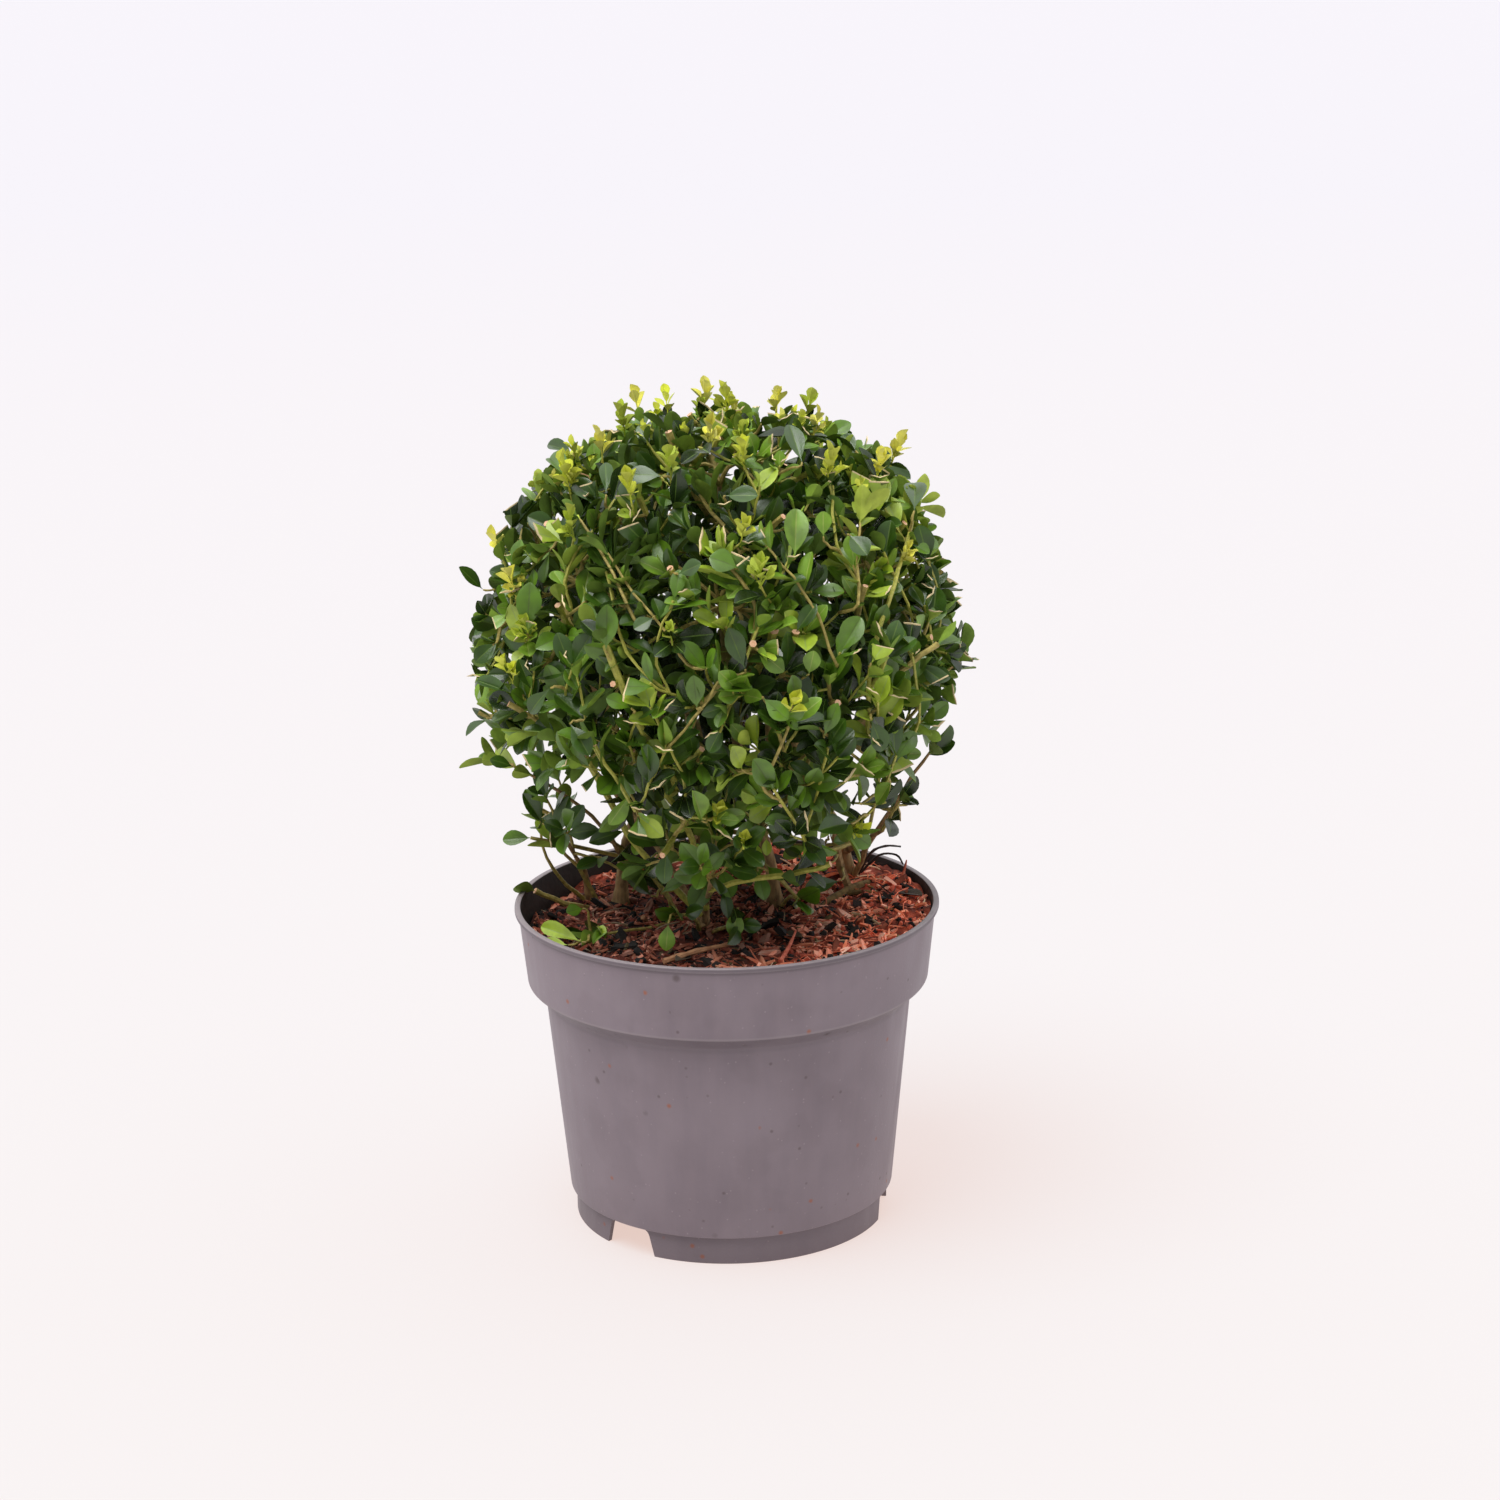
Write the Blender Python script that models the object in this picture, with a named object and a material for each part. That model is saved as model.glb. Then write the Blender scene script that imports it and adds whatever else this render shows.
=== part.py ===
# A Japanese holly clipped to a ball, growing from a round nursery pot.
# Sizes are in millimetres until a mesh is made, which turns them into metres.
# Z is up, the pot stands on z = 0 and its axis is the Z axis. The front is at -Y.

import math
import random

import bmesh
import bpy
from mathutils import Matrix, Vector
from mathutils.bvhtree import BVHTree

MM = 0.001
GAP = 0.3                   # clearance between pieces that touch

# Pot
POT_SIDES = 48
POT_HEIGHT = 145.6
POT_WALL = 1.6
LIP_RADIUS = 95.0
LIP_HEIGHT = 2.0
LIP_WIDTH = 2.6
COLLAR_TOP_RADIUS = 93.4
COLLAR_FOOT_RADIUS = 90.0
COLLAR_FOOT_Z = 111.5
BODY_TOP_RADIUS = 82.3
BODY_TOP_Z = 105.0
BODY_FOOT_RADIUS = 73.4
FOOT_LINE_Z = 12.7
FOOT_RADIUS = 70.9
FOOT_WALL = 2.2
FLOOR_THICK = 1.8

# Drain notches in the pot's foot
NOTCH_AZIMUTHS = (-130.0, -10.0, 110.0)
NOTCH_WIDTH_LOW = 28.0
NOTCH_WIDTH_HIGH = 21.0
NOTCH_HEIGHT = 12.2

# Soil
SOIL_SIDES = 36
SOIL_LEVEL = 138.5
SOIL_RISE_TO_RIGHT = 3.0
SOIL_DIP = 5.5
SOIL_DIP_PLACE = (-72.0, 22.0)
SOIL_DIP_SPREAD = 30.0
SOIL_BUMP = 0.7
SOIL_RINGS = (0.82, 0.62, 0.4, 0.2)

# Crown
CROWN_CENTRE = Vector((0.0, 0.0, 262.0))
CROWN_RADIUS = 111.5
TOP_EXTRA = 2.0             # how much further the shoots reach at the very top
LOW_EXTRA = 7.0             # and under the ball, where the shears miss them
BUMP = 2.0                  # unevenness of the clipped face
HEART_RADIUS = 50.0         # the leafless middle, where the boughs run
HUB_RADIUS = 72.0           # the middle of each mass's core
CORE_RADIUS = 33.0          # sideways, unless the next mass is nearer
CORE_DEPTH = 19.0           # half its depth, towards and away from the crown's centre
CORE_SPOKE = 4.0            # half the width of core that each of its corners stands for
UNDERSIDE_Z = 153.0         # nothing of the crown hangs lower than this
TINY_EDGE = 0.001           # edges shorter than this are closed up after a union
SPACE_MARGIN = 0.5          # from each mass to the planes between it and the next
LIMB_MARGIN = 0.8           # from twigs and leaves to the limbs

# Limbs
LIMB_SIDES = 6
RING_STEP = 17.0
FLARE = ((0.0, 1.75), (3.0, 1.35), (8.0, 1.12), (16.0, 1.0))
STEM_FOOT_RADIUS = 2.9
STEM_TIP_RADIUS = 1.5
BOUGH_FOOT_RADIUS = 1.9
BOUGH_TIP_RADIUS = 1.3
BOUGH_CURVE = 0.35          # how far a bough holds its first and last direction
SEAT_STEP = 0.1

# Twigs and leaves
TWIG_RADIUS = 0.95
TWIG_TIP_RADIUS = 0.55
TWIG_BEND = 0.16
STRAIGHT_TWIG = 26.0        # twigs shorter than this have no bend
LEAF_LENGTH = 24.0
LEAF_WIDTH = 15.0
LEAF_THICK = 0.8
LEAF_WIDEST = 0.56          # where the leaf is widest, from its root
LEAF_SPACING = 6.5
LEAVES_FROM = 80.0          # leaves nearer to the crown's centre would be lost in a core
MOST_LEAVES = 5             # on one twig
SIDE_LEAF_TILT = (50.0, 85.0)
END_LEAF_TILT = (5.0, 35.0)
ROOT_DEPTH = 0.3            # how far a leaf starts behind the middle of its twig
GOLDEN_ANGLE = math.radians(137.5)
CROWN_TARGETS = 118         # places all round the ball that a twig grows to
TARGET_DEPTH = (0.80, 0.93) # how far out they lie, as shares of the crown's reach
SEED = 20
ATTEMPTS = 8                # seeds that a mass may try until its union is sound

# Foliage masses: name, azimuth and elevation seen from the crown's centre
CROWN_MASSES = (
    ("foliage_top", 0.0, 90.0),
    ("foliage_upper_front", -90.0, 28.0),
    ("foliage_upper_right", -18.0, 28.0),
    ("foliage_upper_back_right", 54.0, 28.0),
    ("foliage_upper_back_left", 126.0, 28.0),
    ("foliage_upper_left", 198.0, 28.0),
    ("foliage_lower_front_left", -126.0, -20.0),
    ("foliage_lower_front_right", -54.0, -20.0),
    ("foliage_lower_right", 18.0, -20.0),
    ("foliage_lower_back", 90.0, -20.0),
    ("foliage_lower_left", 162.0, -20.0),
)

# Low shoots under the ball: name and the middle of the space that they fill
LOW_MASSES = (
    ("foliage_low_left", Vector((-72.0, 4.0, 174.0))),
    ("foliage_low_front", Vector((-6.0, -58.0, 174.0))),
    ("foliage_low_right", Vector((70.0, 2.0, 176.0))),
    ("foliage_low_back", Vector((-2.0, 72.0, 176.0))),
)

# Tips of the shoots that stand out furthest from the clipped face
STRAYS = (
    Vector((-115.0, -4.0, 229.0)),
    Vector((114.6, -6.0, 256.0)),
    Vector((2.0, -113.5, 262.0)),
    Vector((-6.0, 113.5, 250.0)),
    Vector((8.0, -4.0, 377.0)),
    Vector((-34.0, 12.0, 374.0)),
    Vector((48.0, 14.0, 371.0)),
    Vector((-88.0, -8.0, 190.0)),
    Vector((86.0, -20.0, 190.0)),
)
STRAY_LEAF = 21.0           # how much of a stray is its last leaf
STRAY_NARROWS = 0.6         # how fast the reach falls back to the face, for each degree

# Stems: name, way points above the soil, and the mass that the stem ends in
STEMS = (
    ("stem_left", ((-49, 31), (-45, 26, 165), (-33, 16, 196), (-27, 7, 232)), "foliage_upper_left"),
    ("stem_back", ((-13, 47), (-13, 42, 166), (-14, 32, 200), (-17, 26, 240)), "foliage_upper_back_left"),
    ("stem_front", ((22, 11), (19, 6, 163), (10, 1, 198), (3, -3, 240)), "foliage_top"),
    ("stem_right", ((56, 48), (51, 40, 165), (37, 24, 195), (29, 9, 230)), "foliage_upper_right"),
)

# Low stems: name, way points above the soil, and the mass that each ends in
LOW_STEMS = (
    ("stem_low_left", ((-63, 38), (-65, 30, 150)), "foliage_low_left"),
    ("stem_low_front", ((-10, -18), (-9, -27, 152)), "foliage_low_front"),
)

# Boughs: name, the stem that each leaves, the height where it does, and its mass
BOUGHS = (
    ("bough_lower_left", "stem_left", 203.0, "foliage_lower_left"),
    ("bough_lower_back", "stem_back", 196.0, "foliage_lower_back"),
    ("bough_lower_front_left", "stem_front", 189.0, "foliage_lower_front_left"),
    ("bough_lower_front_right", "stem_front", 177.0, "foliage_lower_front_right"),
    ("bough_upper_front", "stem_front", 226.0, "foliage_upper_front"),
    ("bough_lower_right", "stem_right", 199.0, "foliage_lower_right"),
    ("bough_upper_back_right", "stem_right", 226.0, "foliage_upper_back_right"),
    ("bough_low_right", "stem_right", 153.0, "foliage_low_right"),
    ("bough_low_back", "stem_back", 154.0, "foliage_low_back"),
)

# Colours are base colours of each sub-part's material, with its roughness
POT_LOOK = ((0.25, 0.21, 0.235, 1.0), 0.62)
SOIL_LOOK = ((0.075, 0.035, 0.022, 1.0), 0.95)
BARK_LOOK = ((0.22, 0.15, 0.075, 1.0), 0.8)
LEAF_LOOK = ((0.045, 0.12, 0.03, 1.0), 0.42)


def clear_scene():
    for item in list(bpy.data.objects):
        bpy.data.objects.remove(item, do_unlink=True)


def make_material(name, look):
    colour, roughness = look
    material = bpy.data.materials.new(name)
    material.use_nodes = True
    shader = material.node_tree.nodes["Principled BSDF"]
    shader.inputs["Base Color"].default_value = colour
    shader.inputs["Roughness"].default_value = roughness
    shader.inputs["Metallic"].default_value = 0.0
    return material


def make_mesh(name, points, faces):
    """A closed mesh in metres from points in millimetres, with its faces turned outwards."""
    mesh = bpy.data.meshes.new(name)
    mesh.from_pydata([Vector(p) * MM for p in points], [], faces)
    work = bmesh.new()
    work.from_mesh(mesh)
    bmesh.ops.recalc_face_normals(work, faces=work.faces)
    work.to_mesh(mesh)
    work.free()
    return mesh


def make_object(name, points, faces, look=None):
    thing = bpy.data.objects.new(name, make_mesh(name, points, faces))
    bpy.context.scene.collection.objects.link(thing)
    if look:
        thing.data.materials.append(make_material(name, look))
    return thing


def ring_faces(first, second, sides):
    """Quads between two rings of points that start at these numbers."""
    faces = []
    for i in range(sides):
        j = (i + 1) % sides
        faces.append((first + i, first + j, second + j, second + i))
    return faces


# Pot

def pot_profile():
    """The wall's section as radius and height, from under the foot, up, over the lip and back."""
    floor_top = FOOT_LINE_Z + FLOOR_THICK
    inside_shelf_z = COLLAR_FOOT_Z + 0.4 * POT_WALL
    return [
        (FOOT_RADIUS - FOOT_WALL, 0.0),
        (FOOT_RADIUS, 0.0),
        (FOOT_RADIUS, FOOT_LINE_Z - 0.5),
        (BODY_FOOT_RADIUS, FOOT_LINE_Z + 0.5),
        (BODY_TOP_RADIUS, BODY_TOP_Z),
        (COLLAR_FOOT_RADIUS, COLLAR_FOOT_Z),
        (COLLAR_TOP_RADIUS, POT_HEIGHT - LIP_HEIGHT),
        (LIP_RADIUS, POT_HEIGHT - LIP_HEIGHT),
        (LIP_RADIUS, POT_HEIGHT),
        (LIP_RADIUS - LIP_WIDTH, POT_HEIGHT),
        (COLLAR_FOOT_RADIUS - POT_WALL, inside_shelf_z),
        (BODY_TOP_RADIUS - POT_WALL, BODY_TOP_Z + 0.4 * POT_WALL),
        (BODY_FOOT_RADIUS - POT_WALL, floor_top),
    ]


def turned_point(radius, z, turn):
    return Vector((radius * math.cos(turn), radius * math.sin(turn), z))


def make_pot():
    profile = pot_profile()
    points = []
    for radius, z in profile:
        for i in range(POT_SIDES):
            points.append(turned_point(radius, z, math.tau * i / POT_SIDES))
    faces = []
    for k in range(len(profile) - 1):
        faces += ring_faces(k * POT_SIDES, (k + 1) * POT_SIDES, POT_SIDES)
    last = (len(profile) - 1) * POT_SIDES
    faces.append(tuple(range(last, last + POT_SIDES)))
    # The floor's underside closes the hollow inside the foot ring
    under = len(points)
    for i in range(POT_SIDES):
        points.append(turned_point(FOOT_RADIUS - FOOT_WALL, FOOT_LINE_Z, math.tau * i / POT_SIDES))
    faces += ring_faces(0, under, POT_SIDES)
    faces.append(tuple(range(under, under + POT_SIDES)))
    pot = make_object("pot", points, faces, POT_LOOK)
    for number, azimuth in enumerate(NOTCH_AZIMUTHS):
        cut_notch(pot, number, math.radians(azimuth))
    return pot


def cut_notch(pot, number, azimuth):
    """Cut one drain notch, narrower at its top, through the foot ring."""
    inner = FOOT_RADIUS - 12.0
    outer = FOOT_RADIUS + 8.0
    points = []
    for radius in (inner, outer):
        for side, z, width in ((-1, -1.0, NOTCH_WIDTH_LOW), (1, -1.0, NOTCH_WIDTH_LOW),
                               (1, NOTCH_HEIGHT, NOTCH_WIDTH_HIGH), (-1, NOTCH_HEIGHT, NOTCH_WIDTH_HIGH)):
            points.append(Vector((radius, side * width / 2, z)))
    faces = ring_faces(0, 4, 4) + [(0, 1, 2, 3), (4, 5, 6, 7)]
    turn = Matrix.Rotation(azimuth, 3, "Z")
    cutter = make_object(f"cutter_notch_{number}", [turn @ p for p in points], faces)
    cut = pot.modifiers.new("notch", "BOOLEAN")
    cut.operation = "DIFFERENCE"
    cut.object = cutter
    apply_modifiers(pot)
    bpy.data.objects.remove(cutter, do_unlink=True)


def apply_modifiers(thing):
    """Keep the mesh as its modifiers leave it, and drop them."""
    graph = bpy.context.evaluated_depsgraph_get()
    shaped = bpy.data.meshes.new_from_object(thing.evaluated_get(graph))
    thing.modifiers.clear()
    thing.data = shaped


# Soil

def soil_height(x, y):
    dip_x, dip_y = SOIL_DIP_PLACE
    away = ((x - dip_x) ** 2 + (y - dip_y) ** 2) / (2 * SOIL_DIP_SPREAD ** 2)
    slope = SOIL_RISE_TO_RIGHT * (x + 0.5 * y) / LIP_RADIUS
    bumps = SOIL_BUMP * (math.sin(0.13 * x + 0.8) * math.cos(0.11 * y) + 0.6 * math.sin(0.23 * y + 0.1 * x))
    return SOIL_LEVEL + slope - SOIL_DIP * math.exp(-away) + bumps


def collar_inside_radius(z):
    low_z = COLLAR_FOOT_Z + 0.4 * POT_WALL
    low = COLLAR_FOOT_RADIUS - POT_WALL
    high = LIP_RADIUS - LIP_WIDTH
    return low + (high - low) * (z - low_z) / (POT_HEIGHT - low_z)


def make_soil():
    """Fill the pot up to an uneven surface, clear of the wall all round."""
    slack = 1.6 * GAP
    side = [
        (BODY_FOOT_RADIUS - POT_WALL - slack, FOOT_LINE_Z + FLOOR_THICK + GAP),
        (BODY_TOP_RADIUS - POT_WALL - slack, BODY_TOP_Z + 0.4 * POT_WALL + slack),
        (COLLAR_FOOT_RADIUS - POT_WALL - slack, COLLAR_FOOT_Z + 0.4 * POT_WALL + slack),
    ]
    points = []
    for radius, z in side:
        for i in range(SOIL_SIDES):
            points.append(turned_point(radius, z, math.tau * i / SOIL_SIDES))
    for fraction in (1.0,) + SOIL_RINGS:
        for i in range(SOIL_SIDES):
            turn = math.tau * i / SOIL_SIDES
            edge = turned_point(COLLAR_FOOT_RADIUS, 0.0, turn)
            radius = (collar_inside_radius(soil_height(edge.x, edge.y)) - slack) * fraction
            place = turned_point(radius, 0.0, turn)
            height = soil_height(edge.x, edge.y) if fraction == 1.0 else soil_height(place.x, place.y)
            points.append(Vector((place.x, place.y, height)))
    rings = len(side) + 1 + len(SOIL_RINGS)
    faces = [tuple(range(SOIL_SIDES))]
    for k in range(rings - 1):
        faces += ring_faces(k * SOIL_SIDES, (k + 1) * SOIL_SIDES, SOIL_SIDES)
    middle = len(points)
    points.append(Vector((0.0, 0.0, soil_height(0.0, 0.0))))
    last = (rings - 1) * SOIL_SIDES
    for i in range(SOIL_SIDES):
        faces.append((last + i, last + (i + 1) % SOIL_SIDES, middle))
    return make_object("soil", points, faces, SOIL_LOOK)


def ground_under(tree, x, y, radius):
    """The highest point of the soil under a stem's foot."""
    heights = []
    for reach in (0.0, 0.5 * radius, radius):
        for i in range(24):
            turn = math.tau * i / 24
            start = Vector((x + reach * math.cos(turn), y + reach * math.sin(turn), 2 * POT_HEIGHT)) * MM
            place = tree.ray_cast(start, Vector((0, 0, -1)))[0]
            heights.append(place.z / MM)
    return max(heights)


# Limbs

class Limb:
    """A tapering limb: its path, the radius along it, and the way that its tip points."""

    def __init__(self, name, path, radii, surface):
        self.name = name
        self.path = path
        self.radii = radii
        self.surface = surface
        self.tip = path[-1]
        self.tip_direction = (path[-1] - path[-2]).normalized()

    def distance_outside(self, point):
        """How far a point lies outside this limb, or less than nothing when it is inside."""
        place, normal, _, apart = self.surface.find_nearest(point)
        return apart if (point - place).dot(normal) > 0 else -apart

    def clearance(self, a, b, radius):
        """The space left between this limb and a straight piece from a to b."""
        least = math.inf
        for i in range(len(self.path) - 1):
            apart = segment_distance(a, b, self.path[i], self.path[i + 1])
            least = min(least, apart - radius - max(self.radii[i], self.radii[i + 1]))
        return least


def segment_distance(a, b, c, d):
    """The least distance between the straight pieces a-b and c-d."""
    u, v, w = b - a, d - c, a - c
    uu, uv, vv = u.dot(u), u.dot(v), v.dot(v)
    uw, vw = u.dot(w), v.dot(w)
    across = uu * vv - uv * uv
    s = 0.0 if across < 1e-9 else min(1.0, max(0.0, (uv * vw - vv * uw) / across))
    t = 0.0 if vv < 1e-9 else min(1.0, max(0.0, (uv * s + vw) / vv))
    s = 0.0 if uu < 1e-9 else min(1.0, max(0.0, (uv * t - uw) / uu))
    return (w + u * s - v * t).length


def bezier(a, b, c, d, t):
    s = 1.0 - t
    return a * s ** 3 + b * (3 * s * s * t) + c * (3 * s * t * t) + d * t ** 3


def smooth_path(points, steps):
    """A smooth curve through the points, with this many steps between each two."""
    path = []
    last = len(points) - 1
    for i in range(last):
        before = points[max(i - 1, 0)]
        after = points[min(i + 2, last)]
        lean_out = (points[i + 1] - before) / 6
        lean_in = (after - points[i]) / 6
        for k in range(steps):
            path.append(bezier(points[i], points[i] + lean_out, points[i + 1] - lean_in, points[i + 1], k / steps))
    path.append(points[-1])
    return path


def place_at(path, distance):
    """The point that lies this far along a path."""
    for i in range(len(path) - 1):
        step = (path[i + 1] - path[i]).length
        if distance <= step:
            return path[i].lerp(path[i + 1], distance / step)
        distance -= step
    return path[-1]


def path_length(path):
    return sum((path[i + 1] - path[i]).length for i in range(len(path) - 1))


def ring_places(length, flared):
    """How far along a limb its rings of points lie."""
    start = [distance for distance, _ in FLARE] if flared and length > 2 * FLARE[-1][0] else [0.0]
    rest = length - start[-1]
    count = max(2, round(rest / RING_STEP))
    return start + [start[-1] + rest * k / count for k in range(1, count + 1)]


def flare_at(distance):
    for (near, wide), (far, narrow) in zip(FLARE, FLARE[1:]):
        if distance <= far:
            return wide + (narrow - wide) * (distance - near) / (far - near)
    return 1.0


def limb_tube(path, foot_radius, tip_radius, flared):
    """The rings of a tapering limb with flat ends, as centres, radii, points and faces."""
    length = path_length(path)
    places = ring_places(length, flared)
    centres = [place_at(path, distance) for distance in places]
    radii = []
    for distance in places:
        radius = foot_radius + (tip_radius - foot_radius) * distance / length
        radii.append(radius * (flare_at(distance) if flared else 1.0))
    points, faces = tube(centres, radii, LIMB_SIDES, flat_foot=flared)
    return centres, radii, points, faces


def make_limb(name, shape):
    centres, radii, points, faces = shape
    make_object(name, points, faces, BARK_LOOK)
    return Limb(name, centres, radii, BVHTree.FromPolygons(points, faces))


def tube(centres, radii, sides, flat_foot=False):
    """Points and faces of a closed tube with this many sides."""
    points = []
    across = None
    for i, centre in enumerate(centres):
        before = centres[max(i - 1, 0)]
        after = centres[min(i + 1, len(centres) - 1)]
        along = (after - before).normalized()
        if flat_foot and i == 0:
            along = Vector((0, 0, 1))
        if across is None:
            across = along.orthogonal().normalized()
        across = (across - along * across.dot(along)).normalized()
        up = along.cross(across)
        for k in range(sides):
            turn = math.tau * k / sides
            points.append(centre + (across * math.cos(turn) + up * math.sin(turn)) * radii[i])
    faces = [tuple(range(sides))]
    for i in range(len(centres) - 1):
        faces += ring_faces(i * sides, (i + 1) * sides, sides)
    last = (len(centres) - 1) * sides
    faces.append(tuple(range(last, last + sides)))
    return points, faces


def mass_direction(azimuth, elevation):
    turn, rise = math.radians(azimuth), math.radians(elevation)
    return Vector((math.cos(rise) * math.cos(turn), math.cos(rise) * math.sin(turn), math.sin(rise)))


def mass_sites():
    """The middle of each mass's space. Every mass keeps to what lies nearest to its own."""
    sites = {}
    for name, azimuth, elevation in CROWN_MASSES:
        sites[name] = CROWN_CENTRE + mass_direction(azimuth, elevation) * HUB_RADIUS
    for name, middle in LOW_MASSES:
        sites[name] = middle
    return sites


def tip_for(mass, sites, start):
    """Where the limb that carries a mass ends, and the way that it points there."""
    if mass.startswith("foliage_low_"):
        towards = (sites[mass] - start).normalized()
        return start.lerp(sites[mass], 0.45), towards
    outward = (sites[mass] - CROWN_CENTRE).normalized()
    return CROWN_CENTRE + outward * HEART_RADIUS, outward


def make_stems(soil_tree, sites):
    limbs = {}
    for name, way, mass in STEMS + LOW_STEMS:
        x, y = way[0]
        level = ground_under(soil_tree, x, y, STEM_FOOT_RADIUS * FLARE[0][1]) + GAP
        points = [Vector((x, y, level))] + [Vector(p) for p in way[1:]]
        tip, outward = tip_for(mass, sites, points[-1])
        points += [tip - outward * 9.0, tip]
        slim = 0.62 if name.startswith("stem_low") else 1.0
        shape = limb_tube(smooth_path(points, 8), STEM_FOOT_RADIUS * slim, STEM_TIP_RADIUS * slim, True)
        limbs[mass] = make_limb(name, shape)
    return limbs


def make_boughs(limbs, sites):
    by_name = {limb.name: limb for limb in limbs.values()}
    for name, parent, height, mass in BOUGHS:
        stem = by_name[parent]
        index = next(i for i, place in enumerate(stem.path) if place.z > height)
        low, high = stem.path[index - 1], stem.path[index]
        share = (height - low.z) / (high.z - low.z)
        axis_point = low.lerp(high, share)
        along = (high - low).normalized()
        tip, outward = tip_for(mass, sites, axis_point)
        sideways = tip - axis_point
        sideways = (sideways - along * sideways.dot(along)).normalized()
        leave = (sideways * 0.8 + along * 0.6).normalized()
        limbs[mass] = make_limb(name, seated_bough(stem, axis_point, leave, tip, outward))
    return limbs


def seated_bough(stem, axis_point, leave, tip, outward):
    """Move a bough's foot out along its own direction until it just clears the stem's side."""
    clear = 0.0
    while True:
        clear += SEAT_STEP
        start = axis_point + leave * clear
        pull = (tip - start).length * BOUGH_CURVE
        path = [bezier(start, start + leave * pull, tip - outward * pull, tip, k / 16) for k in range(17)]
        shape = limb_tube(path, BOUGH_FOOT_RADIUS, BOUGH_TIP_RADIUS, False)
        foot = shape[2][:LIMB_SIDES]
        middles = [foot[i].lerp(foot[i - 1], 0.5) for i in range(LIMB_SIDES)]
        if min(stem.distance_outside(point) for point in foot + middles) > GAP:
            return shape


# Foliage

def crown_reach(direction):
    """How far from its centre the clipped crown reaches in one direction."""
    rise = math.degrees(math.asin(max(-1.0, min(1.0, direction.z))))
    reach = CROWN_RADIUS
    reach += TOP_EXTRA * max(0.0, (rise - 50.0) / 40.0)
    reach += LOW_EXTRA * min(1.0, max(0.0, (-rise - 25.0) / 20.0))
    x, y, z = direction
    reach += BUMP * (math.sin(5 * x + 1.0) * math.cos(4 * y + 2.0) + 0.7 * math.sin(6 * z + 3 * x))
    for tip in STRAYS:
        way = tip - CROWN_CENTRE
        apart = math.degrees(way.angle(direction))
        reach = max(reach, way.length - STRAY_NARROWS * apart)
    if direction.z < 0:
        reach = min(reach, (CROWN_CENTRE.z - UNDERSIDE_Z) / -direction.z)
    return reach


class Space:
    """The part of the crown that one mass keeps to."""

    def __init__(self, name, sites, limbs):
        self.site = sites[name]
        self.others = [place for other, place in sites.items() if other != name]
        self.limbs = limbs

    def holds(self, point, slack=1.0):
        for other in self.others:
            away = (other - self.site).normalized()
            if (point - (self.site + other) / 2).dot(away) > -SPACE_MARGIN:
                return False
        from_centre = point - CROWN_CENTRE
        if from_centre.length > crown_reach(from_centre.normalized()) * slack + 0.5:
            return False
        return point.z > UNDERSIDE_Z - 1.0

    def clear_of_limbs(self, a, b, radius):
        return all(limb.clearance(a, b, radius) > LIMB_MARGIN for limb in self.limbs)


def even_directions(count):
    """Directions spread evenly over a whole sphere."""
    directions = []
    for i in range(count):
        z = 1.0 - 2.0 * (i + 0.5) / count
        flat = math.sqrt(1.0 - z * z)
        turn = i * math.pi * (3.0 - math.sqrt(5.0))
        directions.append(Vector((flat * math.cos(turn), flat * math.sin(turn), z)))
    return directions


def deal_targets(sites, dice):
    """Spread the twigs' targets over the crown, and give each to the nearest mass."""
    targets = {name: [] for name in sites}
    places = [tip - (tip - CROWN_CENTRE).normalized() * STRAY_LEAF for tip in STRAYS]
    for direction in even_directions(CROWN_TARGETS):
        depth = dice.uniform(*TARGET_DEPTH)
        places.append(CROWN_CENTRE + direction * crown_reach(direction) * depth)
    for place in places:
        name = min(sites, key=lambda key: (sites[key] - place).length)
        targets[name].append(place)
    return targets


def leaf_points(root, along, face, length, width):
    """The six corners of a leaf: a long flat diamond, widest past its middle."""
    across = along.cross(face).normalized()
    middle = root + along * length * LEAF_WIDEST
    tip = root + along * length - face * length * 0.06
    return [
        root,
        tip,
        middle + across * width / 2,
        middle - across * width / 2,
        middle + face * LEAF_THICK / 2,
        middle - face * LEAF_THICK / 2,
    ]


LEAF_FACES = [(0, 2, 4), (0, 4, 3), (0, 3, 5), (0, 5, 2), (1, 4, 2), (1, 3, 4), (1, 5, 3), (1, 2, 5)]


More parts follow.
